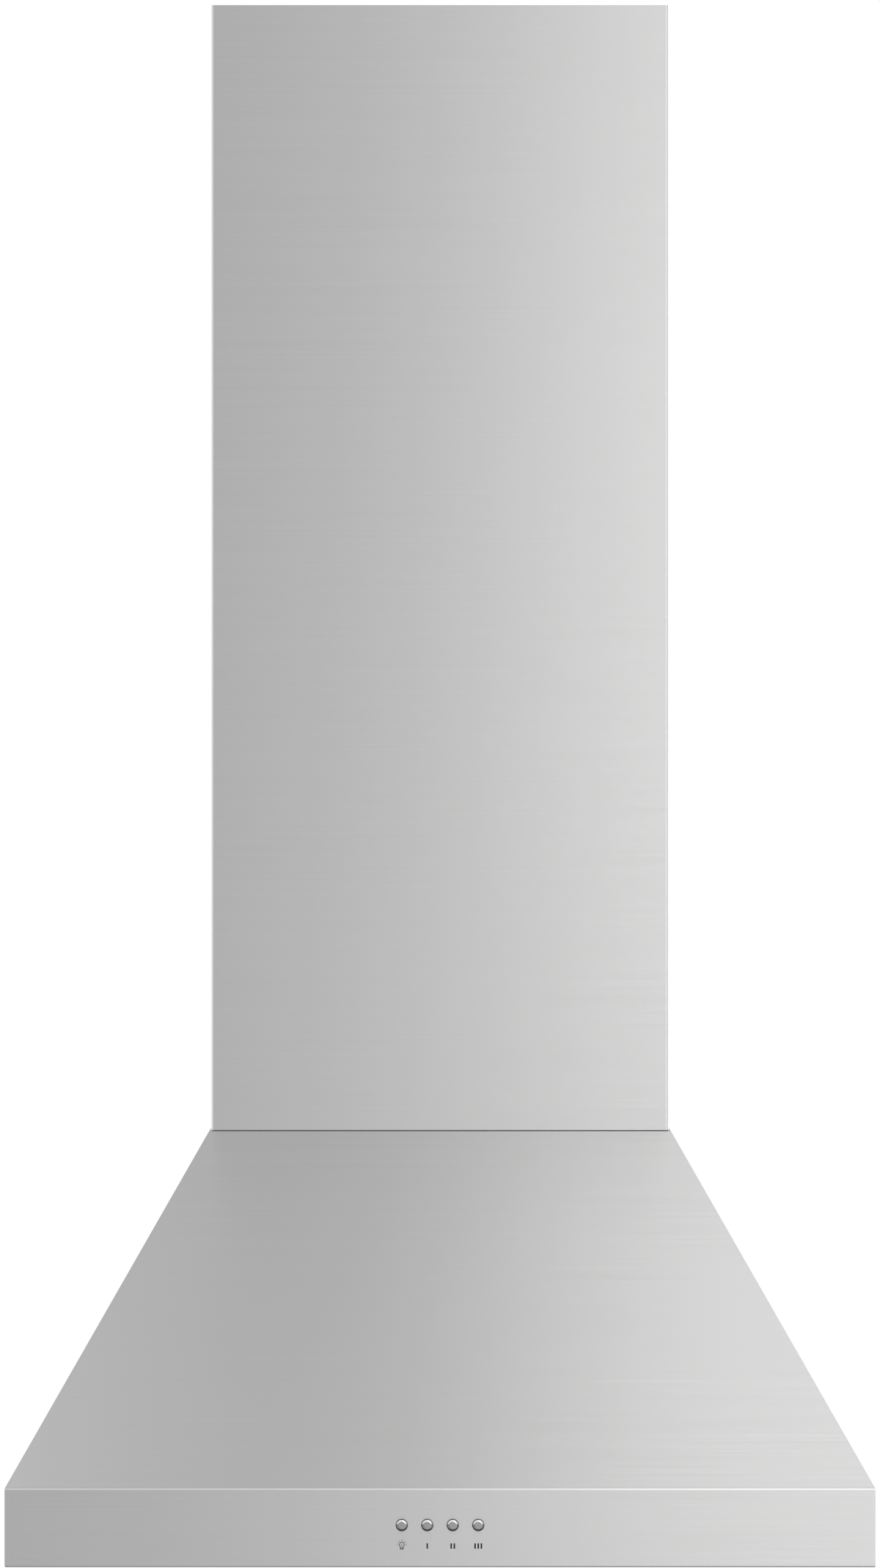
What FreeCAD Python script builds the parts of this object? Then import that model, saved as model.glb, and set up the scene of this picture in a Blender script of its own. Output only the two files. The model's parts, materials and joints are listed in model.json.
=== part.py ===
import FreeCAD, Part
import math
import os

os.makedirs("parts", exist_ok=True)
Vector = FreeCAD.Vector

# Wall mount range hood. The wall is the plane y = 0 and the hood stands on the side of negative y.
# The origin is the middle of the four wall bolts. Millimetres throughout.

# Overall sizes
hood_width = 598.0
hood_depth = 500.0
rim_height = 54.0
slope_height = 241.0
chimney_width = 320.0
chimney_depth = 275.0
chimney_height = 788.0
chimney_ledge = 1.6
seam_gap = 0.8
bolt_rise = 190.0

# Sheets, folds and clearances
canopy_sheet = 1.0
cover_sheet = 0.8
bracket_sheet = 2.0
rim_bend = 2.4
cover_bend = 1.2
fold_bend = 1.0
fit_gap = 0.3
running_gap = 0.05
overrun = 10.0

# Canopy folds
top_flange = 18.0
rim_return = 16.0
back_return = 12.0

# Back panel and wall hooks
bolt_inset = 10.0
bolt_spacing_up = 36.0
bolt_hole_radius = 3.2
hook_width = 40.0
hook_margin = 10.0
hook_step = 12.0
hook_lip = 12.0
window_gap = 3.0
block_width = 30.0
block_depth = 12.0
block_height = 16.0
block_rise = 3.0
block_bolt_radius = 3.0
block_bolt_head = 5.0
lock_hole_radius = 3.5
lock_hole_spacing = 440.0
lock_hole_rise = 28.0

# Bottom panel
panel_lip = 22.0
panel_rise = 5.0
panel_flange = 8.0
panel_corner = 8.0
bar_half = 12.0
opening_side = 35.0
opening_front = 92.0
opening_back = 40.0

# Filters
filter_thickness = 9.0
filter_sheet = 1.0
filter_border = 12.0
mesh_layer = 0.8
filter_side_gap = 2.0
filter_end_gap = 2.5
pivot_radius = 2.0
pivot_inset = 6.0
pivot_end_play = 0.4

# Filter latches
latch_width = 60.0
latch_depth = 30.0
latch_wall = 4.0
latch_roof = 2.5
latch_reach = 3.5
latch_travel = 6.0
tongue_width = 16.0
tongue_thickness = 1.5
slider_length = 10.0
slider_ear = 2.0
grip_width = 2.0

# Lamps
lamp_inset = 99.0
lamp_setback = 58.0
bezel_radius = 29.0
bezel_flange = 1.5
bezel_sleeve_radius = 24.0
bezel_sleeve_wall = 1.5
bezel_sleeve_height = 12.0
bezel_ledge = 1.5
lens_thickness = 2.5
housing_wall = 1.2
housing_height = 24.0
housing_foot = 4.0
lamp_board_thickness = 1.6
led_radius = 2.4
led_height = 1.4
led_ring_radius = 12.0
led_count = 6

# Buttons and switch
button_pitch = 17.5
button_rise = 29.0
button_radius = 3.9
button_ring_gap = 0.35
button_proud = 3.0
button_round = 1.6
button_travel = 2.5
button_flange_radius = 5.2
button_flange_thickness = 1.0
button_stem_radius = 2.5
button_stem_length = 9.0
switch_depth = 24.0
switch_height = 26.0
switch_margin = 12.0
switch_edge = 1.0
switch_wing = 12.0
switch_screw_spacing = 46.0
bridge_height = 18.0

# Blower
wheel_radius = 73.0
wheel_half_width = 42.5
wheel_ring_width = 13.5
wheel_ring_thickness = 1.5
wheel_disc_thickness = 2.0
blade_count = 40
blade_inner_radius = 60.0
blade_outer_radius = 72.4
blade_lead_angle = 6.0
blade_thickness = 0.8
hub_radius = 12.0
hub_length = 18.0
shaft_radius = 4.0
shaft_length = 74.0
scroll_start = 79.0
scroll_step = 9.0
scroll_wall = 1.5
scroll_half_width = 52.0
scroll_flange = 8.0
scroll_tongue = 5.5
scroll_top_flange = 11.0
inlet_radius = 58.0
inlet_curl = 8.0
wheel_drop = 112.0

# Motor
motor_radius = 42.0
motor_start = 9.0
motor_length = 57.0
motor_edge = 5.0
motor_boss_radius = 11.0
motor_boss_length = 3.0
spider_ring_wall = 2.5
spider_ring_length = 9.0
spider_reach = 82.0
spider_arm_width = 15.0
spider_arms = 3
spider_bolt_circle = 74.0
capacitor_radius = 14.0
capacitor_length = 52.0
capacitor_edge = 2.0
capacitor_stud_radius = 3.9
capacitor_stud_length = 9.0
capacitor_nut_radius = 7.0
capacitor_nut_height = 5.0
capacitor_inset = 53.6
capacitor_out = 205.0

# Duct collar and damper
plate_sheet = 1.5
collar_radius = 74.5
collar_wall = 1.6
collar_height = 46.0
collar_flange_radius = 88.0
collar_flange_thickness = 2.0
outlet_hole_radius = 72.5
damper_rise = 13.0
damper_rod_radius = 1.5
damper_seat = 1.0
damper_gap = 0.9
damper_thickness = 1.2
knuckle_radius = 3.0
knuckle_bore_gap = 0.06
knuckle_length = 16.0
knuckle_places = (-54.0, 18.0)

# Terminal box
terminal_length = 78.0
terminal_height = 48.0
terminal_wall = 2.0
terminal_setback = 38.0
terminal_collar_gap = 1.3
terminal_block_height = 14.0
terminal_block_share = 0.7
gland_bore_radius = 4.2
gland_radius = 7.5
gland_nut_radius = 10.5
gland_nut_height = 6.0
gland_height = 14.0

# Chimney covers
cover_return = 15.0
cover_foot = 14.0
cover_foot_length = 40.0
upper_length = 620.0
upper_drop = 2.0
vent_count = 8
vent_width = 4.0
vent_length = 90.0
vent_pitch = 10.0
vent_drop = 60.0
bracket_bolt_spacing = 180.0
bracket_bolt_radius = 3.0
bracket_height = 24.0
bracket_drop = 14.0
bracket_ear = 22.0
bracket_offset = 6.0
bracket_inset = 26.0

# Screws
screw_radius = 1.9
screw_head_radius = 3.8
screw_head_height = 2.2
screw_crown = 1.0
screw_length = 7.0
screw_hole_gap = 0.1

# Levels and places that follow from the sizes above
bolt_spacing_across = chimney_width - 2 * bolt_inset
rim_low = -bolt_rise
rim_top = rim_low + rim_height
canopy_top = rim_top + slope_height
cover_top = canopy_top + chimney_height
top_half = chimney_width / 2 + chimney_ledge
top_front = chimney_depth + chimney_ledge
side_run = hood_width / 2 - top_half
front_run = hood_depth - top_front
plate_top = canopy_top - canopy_sheet
plate_low = plate_top - plate_sheet
panel_low = rim_low + canopy_sheet
panel_plate = panel_low + panel_rise
panel_top = panel_plate + canopy_sheet
panel_back = 2 * canopy_sheet + fit_gap
duct_out = chimney_depth / 2
rear_reach = scroll_step / 2 + scroll_start + 3 * scroll_step
wheel_out = duct_out + (scroll_tongue + rear_reach) / 2
wheel_up = plate_low - wheel_drop
collar_base = plate_top + collar_flange_thickness
damper_up = collar_base + damper_rise
button_up = rim_low + button_rise
opening_width = hood_width / 2 - opening_side - bar_half
opening_half = bar_half + opening_width / 2
pivot_out = opening_back + filter_end_gap + pivot_inset
pivot_up = panel_plate + filter_thickness / 2
filter_front = hood_depth - opening_front - filter_end_gap
lamp_across = hood_width / 2 - lamp_inset
capacitor_across = top_half - capacitor_inset
lamp_out = hood_depth - lamp_setback
screw_hole_radius = screw_radius + screw_hole_gap
rightward = Vector(1, 0, 0)
backward = Vector(0, 1, 0)
upward = Vector(0, 0, 1)


def at(across, out, up):
    """Point by its place across the hood, its distance out from the wall and its height."""
    return Vector(across, -out, up)


def block(across, out, up):
    """Box between the given pairs of places across, out from the wall and up."""
    size = (max(across) - min(across), max(out) - min(out), max(up) - min(up))
    return Part.makeBox(*size, at(min(across), max(out), min(up)))


def bar(radius, start, end):
    """Round bar from one point to another."""
    return Part.makeCylinder(radius, (end - start).Length, start, end - start)


def pipe(outer, inner, start, end):
    """Round tube from one point to another."""
    return bar(outer, start, end).cut(bar(inner, start, end))


def fuse(shapes):
    """Join shapes into one."""
    shapes = list(shapes)
    return shapes[0].multiFuse(shapes[1:]).removeSplitter()


def cut(shape, tools):
    """Take each tool away from a shape."""
    return shape.cut(list(tools))


def mirrored(shape):
    """The same shape on the other side of the hood's middle plane."""
    return shape.mirror(Vector(0, 0, 0), rightward)


def both(shape):
    """The shape and its mirror image."""
    return [shape, mirrored(shape)]


def outline(points, radii):
    """Closed wire through points, with an arc of the given radius at each corner that has one."""
    count = len(points)
    entries, exits, middles = list(points), list(points), [None] * count
    for i in range(count):
        if not radii[i]:
            continue
        back = (points[i - 1] - points[i]).normalize()
        ahead = (points[(i + 1) % count] - points[i]).normalize()
        half = back.getAngle(ahead) / 2
        reach = radii[i] / math.tan(half)
        entries[i] = points[i] + back * reach
        exits[i] = points[i] + ahead * reach
        inward = (back + ahead).normalize()
        middles[i] = points[i] + inward * (radii[i] / math.sin(half) - radii[i])
    edges = []
    for i in range(count):
        if middles[i]:
            edges.append(Part.Arc(entries[i], middles[i], exits[i]).toShape())
        following = entries[(i + 1) % count]
        if (following - exits[i]).Length > 0:
            edges.append(Part.LineSegment(exits[i], following).toShape())
    return Part.Wire(edges)


def prism(points, radii, sweep):
    """Solid from a flat outline swept along a vector."""
    return Part.Face(outline(points, radii)).extrude(sweep)


def folded(points, thickness, bend, place, sweep):
    """Folded sheet. Points follow one face, the sheet's thickness lies to their left, and place turns each
    pair of numbers into a point. Bend is the inside radius of every fold."""
    count = len(points)
    steps = []
    for i in range(count - 1):
        across, up = points[i + 1][0] - points[i][0], points[i + 1][1] - points[i][1]
        steps.append((across / math.hypot(across, up), up / math.hypot(across, up)))
    near, far, near_bends, far_bends = [], [], [], []
    for i, (across, up) in enumerate(points):
        first = steps[max(i - 1, 0)]
        second = steps[min(i, count - 2)]
        scale = thickness / (1 + first[0] * second[0] + first[1] * second[1])
        near.append(place(across, up))
        far.append(place(across - (first[1] + second[1]) * scale, up + (first[0] + second[0]) * scale))
        turn = first[0] * second[1] - first[1] * second[0]
        straight = i in (0, count - 1)
        near_bends.append(0 if straight else bend + thickness if turn > 0 else bend)
        far_bends.append(0 if straight else bend if turn > 0 else bend + thickness)
    return prism(near + far[::-1], near_bends + far_bends[::-1], sweep)


def turned(points, radii, centre):
    """Solid turned from a flat outline about an upright axis."""
    return Part.Face(outline(points, radii)).revolve(centre, upward, 360)


def screw(head, axis):
    """Pan head screw. Head is where its head meets the sheet and axis points into the sheet."""
    edge = head - axis * (screw_head_height - screw_crown)
    crown = Part.makeCone(screw_head_radius, screw_head_radius - screw_crown, screw_crown, edge, -axis)
    shank = bar(screw_radius, head, head + axis * screw_length)
    return fuse([bar(screw_head_radius, edge, head), crown, shank])


def flush_screw(head, axis, grow=0):
    """Countersunk screw, or with grow the hole for it. Head is the middle of its flat top."""
    radius, shank = screw_head_radius + grow, screw_radius + grow
    start = head - axis * grow
    cone = Part.makeCone(radius, shank, radius - shank, head, axis)
    rim = [bar(radius, start, head)] if grow else []
    return fuse([cone, bar(shank, head, head + axis * (screw_length + grow))] + rim)


def upright_holes(radius, feet):
    """Tools for holes of one radius through a level sheet at the given feet."""
    return [bar(radius, foot - upward * overrun, foot + upward * overrun) for foot in feet]


def save(name, shape):
    """Write one sub-part."""
    shape.exportStep(os.path.join("parts", name + ".step"))


# Canopy


def canopy_form(inset, low, high, back):
    """Closed form of the canopy moved inwards by inset, between two heights, up to the given distance
    from the wall."""
    side_shift = inset * math.hypot(side_run, slope_height) / slope_height
    front_shift = inset * math.hypot(front_run, slope_height) / slope_height

    def ring(up):
        climb = (up - rim_top) / slope_height
        half = hood_width / 2 - side_run * climb - side_shift
        front = hood_depth - front_run * climb - front_shift
        corners = [at(-half, front, up), at(half, front, up), at(half, back, up), at(-half, back, up)]
        return Part.makePolygon(corners + corners[:1])

    cone = Part.makeLoft([ring(low), ring(high)], True, True)
    half = hood_width / 2 - inset
    return cone.common(block((-half, half), (back, hood_depth - inset), (low, high)))


def button_places():
    """Places of the four buttons across the hood."""
    return [(i - 1.5) * button_pitch for i in range(4)]


def canopy_shell():
    """Welded canopy: rim, four-sided slope, flange round the top and returns at the bottom and back."""
    outer = canopy_form(0, rim_low, canopy_top, canopy_sheet)
    upper_bends = [e for e in outer.Edges if abs(e.CenterOfMass.z - rim_top) < running_gap]
    outer = outer.makeFillet(rim_bend, upper_bends)
    foot = [e for e in outer.Edges if abs(e.CenterOfMass.z - rim_low) < running_gap]
    lower_bends = [e for e in foot if e.CenterOfMass.y < -canopy_sheet - running_gap]
    outer = outer.makeFillet(canopy_sheet, lower_bends)
    half = hood_width / 2
    mouth_half, mouth_front = top_half - top_flange, top_front - top_flange
    inner_back = 2 * canopy_sheet
    floor_half, floor_front = half - rim_return, hood_depth - rim_return
    back_hole = canopy_form(back_return, rim_low - overrun, plate_top, -overrun)
    tools = [
        canopy_form(canopy_sheet, rim_low + canopy_sheet, plate_top, inner_back),
        back_hole.common(block((-half, half), (0, inner_back), (rim_low - overrun, plate_top))),
        block((-mouth_half, mouth_half), (0, mouth_front), (plate_top - overrun, canopy_top + overrun)),
        block((-floor_half, floor_half), (0, floor_front), (rim_low - overrun, rim_top)),
    ]
    for x in button_places():
        start, end = at(x, hood_depth - overrun, button_up), at(x, hood_depth + overrun, button_up)
        tools.append(bar(button_radius + button_ring_gap, start, end))
    tools += panel_screw_holes()
    tools += [bar(screw_hole_radius, p - upward * overrun, p) for p in chimney_screw_places()]
    return cut(outer, tools)


# Back panel, wall hooks and levelling blocks


def hook_heights():
    """Lower and upper edge of a wall hook's plate, about the bolt pattern's middle."""
    reach = bolt_spacing_up / 2 + hook_margin
    return -reach, reach


def lock_holes():
    """Tools for the two locking holes low in the back panel."""
    up = rim_low + lock_hole_rise
    across = lock_hole_spacing / 2
    return both(bar(lock_hole_radius, at(across, -overrun, up), at(across, overrun, up)))


def back_panel():
    """Flat back of the canopy, with a window over each wall hook and a hole at each side to lock it."""
    half = hood_width / 2
    right = [(half, rim_low), (half, rim_top), (top_half, canopy_top)]
    left = [(-top_half, canopy_top), (-half, rim_top), (-half, rim_low)]
    points = [at(x, canopy_sheet, z) for x, z in right + left]
    panel = prism(points, [0] * len(points), Vector(0, canopy_sheet, 0))
    foot = block((rim_return - half, half - rim_return), (0, rim_return), (rim_low, rim_low + canopy_sheet))
    low, high = hook_heights()
    middle = bolt_spacing_across / 2
    reach = hook_width / 2 + window_gap
    window = block((middle - reach, middle + reach), (-overrun, overrun), (low - window_gap, high))
    return cut(fuse([panel, foot]), both(window) + lock_holes() + panel_screw_holes())


def wall_hook():
    """Steel hook screwed to the wall: flat plate, step out through the window and a lip turned up."""
    low, high = hook_heights()
    middle = bolt_spacing_across / 2
    points = [(hook_step, high + hook_lip), (hook_step, high), (0, high), (0, low)]
    hook = folded(
        points,
        bracket_sheet,
        fold_bend,
        lambda out, up: at(middle - hook_width / 2, out, up),
        Vector(hook_width, 0, 0),
    )
    holes = []
    for up in (-bolt_spacing_up / 2, bolt_spacing_up / 2):
        start, end = at(middle, -overrun, up), at(middle, hook_step - bracket_sheet, up)
        holes.append(bar(bolt_hole_radius, start, end))
    return cut(hook, holes)


def level_axis():
    """Foot of the levelling bolt on the hook's step."""
    return at(bolt_spacing_across / 2, (canopy_sheet + hook_step) / 2, hook_heights()[1])


def levelling_block():
    """Block welded to the back panel over a hook. The levelling bolt runs down through it."""
    foot = level_axis()
    low = foot.z + hook_lip + block_rise
    front = canopy_sheet + block_depth
    sides = (foot.x - block_width / 2, foot.x + block_width / 2)
    body = block(sides, (canopy_sheet, front), (low, low + block_height))
    edges = [e for e in body.Edges if abs(e.CenterOfMass.y + front) < running_gap]
    body = body.makeChamfer(fold_bend, edges)
    top = at(foot.x, -foot.y, low + block_height + overrun)
    return body.cut(bar(block_bolt_radius + screw_hole_gap, foot, top))


def levelling_bolt():
    """Bolt that carries the hood on the hook's step."""
    foot = level_axis()
    shank = hook_lip + block_rise + block_height + block_bolt_head
    top = foot + upward * shank
    head = hexagon(block_bolt_head, top, block_bolt_head)
    return fuse([bar(block_bolt_radius, foot, top), head])


def hexagon(radius, centre, height):
    """Upright six-sided head or nut, standing on centre."""
    turns = [math.pi * i / 3 for i in range(6)]
    points = [centre + Vector(math.cos(turn), math.sin(turn), 0) * radius for turn in turns]
    return prism(points, [0] * 6, upward * height)


# Bottom panel


def panel_form(inset, low, high, corner=0):
    """Upright block of the bottom panel's outline moved inwards by inset, with rounded corners."""
    edge = canopy_sheet + fit_gap + inset
    side, front, back = hood_width / 2 - edge, hood_depth - edge, panel_back + inset
    places = [(-side, back), (side, back), (side, front), (-side, front)]
    return prism([at(x, out, low) for x, out in places], [corner] * len(places), upward * (high - low))


def filter_opening(grow, low, high):
    """Block of the right filter's opening, grown all round."""
    return block(
        (bar_half - grow, bar_half + opening_width + grow),
        (opening_back - grow, hood_depth - opening_front + grow),
        (low, high),
    )


def bottom_panel():
    """Pressed panel that rests on the rim's return. Its middle stands higher than its lip, and a flange is
    turned up round each filter opening."""
    flange_top = panel_top + panel_flange
    raised = panel_lip - canopy_sheet
    panel = fuse(
        [
            panel_form(0, panel_low, panel_low + canopy_sheet),
            panel_form(raised, panel_low, panel_top, panel_corner + canopy_sheet),
        ]
        + both(filter_opening(canopy_sheet, panel_plate, flange_top))
    )
    reach = 2 * canopy_sheet
    pivot_start = at(bar_half - reach, pivot_out, pivot_up)
    pivot_end = at(bar_half + opening_width + reach, pivot_out, pivot_up)
    notch = tongue_width / 2 + fit_gap
    sleeve = bezel_sleeve_radius + bezel_sleeve_wall + fit_gap
    tools = [
        filter_opening(0, panel_low - overrun, flange_top + overrun),
        bar(pivot_radius + running_gap, pivot_start, pivot_end),
        block(
            (opening_half - notch, opening_half + notch),
            (filter_front, hood_depth - opening_front + reach),
            (panel_top, flange_top + overrun),
        ),
        bar(sleeve, lamp_centre(panel_low), lamp_centre(panel_top)),
    ]
    hollow = panel_form(panel_lip, panel_low - overrun, panel_plate, panel_corner)
    return cut(panel, [hollow] + tools + [mirrored(tool) for tool in tools] + panel_screw_holes())


def panel_screw_places():
    """Feet of the screws that hold the bottom panel's lip to the rim's return."""
    inset = (rim_return + canopy_sheet) / 2
    side, front, back = hood_width / 2 - inset, hood_depth - inset, inset + canopy_sheet
    ends = [at(x, out, rim_low) for x in (-opening_half, opening_half) for out in (front, back)]
    return ends + [at(x, hood_depth / 2, rim_low) for x in (-side, side)]


def panel_screw_holes():
    """Countersunk holes for the bottom panel's screws."""
    return [flush_screw(p, upward, screw_hole_gap) for p in panel_screw_places()]


# Filters and their latches


def filter_form(inset, low, high):
    """Block of the right filter moved inwards by inset."""
    return block(
        (bar_half + filter_side_gap + inset, bar_half + opening_width - filter_side_gap - inset),
        (opening_back + filter_end_gap + inset, filter_front - inset),
        (low, high),
    )


def latch_form(grow, low, high):
    """Block of the latch case in the middle of the filter's front edge."""
    back = filter_front - filter_sheet - latch_depth
    return block(
        (opening_half - latch_width / 2 - grow, opening_half + latch_width / 2 + grow),
        (back - grow, filter_front - filter_sheet - fit_gap + grow),
        (low, high),
    )


def tongue_slot():
    """Slot for the latch tongue through the filter's front edge."""
    low = panel_top
    half = tongue_width / 2 + fit_gap
    return block(
        (opening_half - half, opening_half + half),
        (filter_front - filter_sheet - latch_wall - overrun, filter_front + overrun),
        (low, low + tongue_thickness + 2 * fit_gap),
    )


def filter_frame():
    """Channel frame of one grease filter, with a pivot stud at each rear corner."""
    high = panel_plate + filter_thickness
    through = (panel_plate - overrun, high + overrun)
    frame = filter_form(0, panel_plate, high)
    groove = filter_form(filter_sheet, panel_plate + filter_sheet, high - filter_sheet)
    hole = filter_form(filter_border, *through)
    latch_seat = latch_form(fit_gap, *through).common(filter_form(filter_sheet, *through))
    frame = cut(frame, [groove, hole, latch_seat, tongue_slot()])
    reach = filter_side_gap + canopy_sheet + pivot_end_play
    left = at(bar_half + filter_side_gap, pivot_out, pivot_up)
    right = at(bar_half + opening_width - filter_side_gap, pivot_out, pivot_up)
    studs = [
        bar(pivot_radius, left + rightward * filter_sheet, left - rightward * reach),
        bar(pivot_radius, right - rightward * filter_sheet, right + rightward * reach),
    ]
    return fuse([frame] + studs)


def filter_mesh():
    """Two layers of stretched aluminium mesh, one against each flange of the frame's channel."""
    inset = filter_sheet + fit_gap
    low, high = panel_plate + filter_sheet, panel_plate + filter_thickness - filter_sheet
    layers = [filter_form(inset, low, low + mesh_layer), filter_form(inset, high - mesh_layer, high)]
    hole = latch_form(2 * fit_gap, low - overrun, high + overrun)
    return Part.Compound([layer.cut(hole) for layer in layers])


def latch_case():
    """Moulded case of the filter latch: a finger recess open below, with a groove at each side."""
    high = panel_plate + filter_thickness
    case = latch_form(0, panel_plate, high)
    half = latch_width / 2 - latch_wall
    front = filter_front - filter_sheet - fit_gap
    recess = block(
        (opening_half - half, opening_half + half),
        (front - latch_depth + latch_wall + filter_sheet, front - latch_wall),
        (panel_plate - overrun, high - latch_roof),
    )
    ear = half + slider_ear + fit_gap
    low = panel_top
    groove = block(
        (opening_half - ear, opening_half + ear),
        (front - latch_wall - slider_length - latch_travel - 2 * fit_gap, front - latch_wall),
        (low, low + tongue_thickness + 2 * fit_gap),
    )
    return cut(case, [recess, groove, tongue_slot()])


def latch_slider():
    """Sprung slider of the filter latch: tongue over the panel, ears in the case's grooves, grip below."""
    low = panel_top + fit_gap
    levels = (low, low + tongue_thickness)
    front = filter_front - filter_sheet - fit_gap - latch_wall - fit_gap
    back = front - slider_length
    tip = hood_depth - opening_front + latch_reach
    half = latch_width / 2 - latch_wall

    def strip(half_width, first, last, levels):
        return block((opening_half - half_width, opening_half + half_width), (first, last), levels)

    grips = []
    for i in range(3):
        start = back + 2 * i * grip_width
        grips.append(strip(half - slider_ear, start, start + grip_width, (panel_plate + fit_gap, low)))
    tongue = strip(tongue_width / 2, back, tip, levels)
    return fuse([tongue, strip(half + slider_ear, back, front, levels)] + grips)


# Lamps


def lamp_centre(up):
    """Axis of the right lamp at a height."""
    return at(lamp_across, lamp_out, up)


def lamp_bezel():
    """Trim ring below the panel with a sleeve up through it and a ledge for the lens."""
    outer = bezel_sleeve_radius + bezel_sleeve_wall
    low = panel_plate - bezel_flange
    centre = lamp_centre(0)

    def place(r, z):
        return centre + Vector(r, 0, z)

    inner = bezel_sleeve_radius - bezel_ledge
    points = [
        place(inner, low),
        place(bezel_radius, low),
        place(bezel_radius, panel_plate),
        place(outer, panel_plate),
        place(outer, panel_plate + bezel_sleeve_height),
        place(bezel_sleeve_radius, panel_plate + bezel_sleeve_height),
        place(bezel_sleeve_radius, low + bezel_flange / 2),
        place(inner, low + bezel_flange / 2),
    ]
    return turned(points, [0, bezel_flange / 2] + [0] * 6, centre)


def lamp_lens():
    """Frosted lens lying on the bezel's ledge."""
    low = panel_plate - bezel_flange / 2
    return bar(bezel_sleeve_radius - fit_gap, lamp_centre(low), lamp_centre(low + lens_thickness))


def lamp_housing():
    """Drawn steel cup over the lamp, standing on the panel by its foot."""
    centre = lamp_centre(0)
    inner = bezel_sleeve_radius + bezel_sleeve_wall + fit_gap
    outer = inner + housing_wall
    high = panel_top + housing_height

    def place(r, z):
        return centre + Vector(r, 0, z)

    points = [
        place(inner, panel_top),
        place(outer + housing_foot, panel_top),
        place(outer + housing_foot, panel_top + housing_wall),
        place(outer, panel_top + housing_wall),
        place(outer, high),
        place(0, high),
        place(0, high - housing_wall),
        place(inner, high - housing_wall),
    ]
    radii = [0, 0, 0, fold_bend, housing_foot / 2, 0, 0, 0]
    return turned(points, radii, centre)


def lamp_board():
    """Round lamp board against the top of the housing, with a ring of small lights below."""
    high = panel_top + housing_height - housing_wall
    low = high - lamp_board_thickness
    board = bar(bezel_sleeve_radius, lamp_centre(low), lamp_centre(high))
    lights = []
    for i in range(led_count):
        turn = 2 * math.pi * i / led_count
        spot = lamp_centre(low) + Vector(math.cos(turn), math.sin(turn), 0) * led_ring_radius
        lights.append(bar(led_radius, spot - upward * led_height, spot))
    return fuse([board] + lights)


# Buttons and switch


def button(across):
    """Push button: rounded cap, retaining flange behind the rim and a stem in the switch."""
    face = hood_depth + button_proud
    flange = at(across, hood_depth - canopy_sheet - fit_gap, button_up)
    back = flange + backward * button_flange_thickness
    cap = bar(button_radius, at(across, face, button_up), flange)
    rims = [e for e in cap.Edges if abs(e.CenterOfMass.y + face) < running_gap]
    cap = cap.makeFillet(button_round, rims)
    plate = bar(button_flange_radius, flange, back)
    stem = bar(button_stem_radius, back, back + backward * button_stem_length)
    return fuse([cap, plate, stem])


def switch_body_front():
    """Distance from the wall to the front of the switch housing."""
    return hood_depth - canopy_sheet - fit_gap - button_flange_thickness - button_travel - fit_gap


def switch_half():
    """Half width of the switch housing."""
    return 1.5 * button_pitch + switch_margin


def switch_screw_places():
    """Feet of the screws that hold the switch housing to its bracket."""
    out = switch_body_front() - switch_depth - canopy_sheet
    return [at(x, out, button_up) for x in (-switch_screw_spacing / 2, switch_screw_spacing / 2)]


def switch_screw_holes():
    """Tools for the holes of the switch housing's screws."""
    behind, ahead = backward * overrun, backward * (screw_length + canopy_sheet)
    return [bar(screw_hole_radius, p + behind, p - ahead) for p in switch_screw_places()]


def switch_housing():
    """Moulded switch body with a bore for each button's stem."""
    front = switch_body_front()
    half = switch_half()
    levels = (button_up - switch_height / 2, button_up + switch_height / 2)
    body = block((-half, half), (front - switch_depth, front), levels)
    body = body.makeChamfer(switch_edge, body.Edges)
    depth = button_stem_length + button_travel + fit_gap
    bores = []
    for x in button_places():
        start, end = at(x, front + overrun, button_up), at(x, front - depth, button_up)
        bores.append(bar(button_stem_radius + running_gap, start, end))
    return cut(body, bores + switch_screw_holes())


def switch_bracket():
    """Hat-shaped bracket welded behind the rim, which holds the switch from behind."""
    back = switch_body_front() - switch_depth
    half = switch_half() + fit_gap
    front = hood_depth - canopy_sheet
    wing = half + canopy_sheet + switch_wing
    points = [(wing, front), (half, front), (half, back), (-half, back), (-half, front), (-wing, front)]
    low = button_up - bridge_height / 2
    strip = folded(points, canopy_sheet, fold_bend, lambda x, out: at(x, out, low), upward * bridge_height)
    return cut(strip, switch_screw_holes())


# Blower


def wheel_point(out, up, across=0):
    """Point by its place about the wheel's axis."""
    return at(across, wheel_out + out, wheel_up + up)


def scroll_face(grow, across, top):
    """Flat spiral outline of the scroll, grown outwards by grow, on a plane across the hood. Four arcs with
    their centres on a small square make the spiral, and the outlet runs straight up from it."""
    half = scroll_step / 2
    quarter = math.pi / 2
    tongue = grow - scroll_tongue
    crown = scroll_start + grow
    # Centres of the crown, front, bottom and rear arcs. Out from the wall is the first number
    centres = [(half, half), (half, -half), (-half, -half), (-half, half)]
    turns = [math.acos((tongue - half) / crown), quarter, 0, -quarter, -2 * quarter]
    edges = []
    for i, centre in enumerate(centres):
        radius = crown + i * scroll_step
        arc = []
        for turn in (turns[i], (turns[i] + turns[i + 1]) / 2, turns[i + 1]):
            out, up = centre[0] + radius * math.cos(turn), centre[1] + radius * math.sin(turn)
            arc.append(wheel_point(out, up, across))
        edges.append(Part.Arc(*arc).toShape())
    height = top - wheel_up
    corners = [wheel_point(-half - radius, height, across), wheel_point(tongue, height, across)]
    corners = [arc[2]] + corners + [edges[0].Vertexes[0].Point]
    edges += [Part.LineSegment(first, second).toShape() for first, second in zip(corners, corners[1:])]
    return Part.Face(Part.Wire(edges))


def scroll_block(grow, first, last, top):
    """The scroll's outline as a solid between two places across the hood."""
    return scroll_face(grow, first, top).extrude(Vector(last - first, 0, 0))


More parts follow.
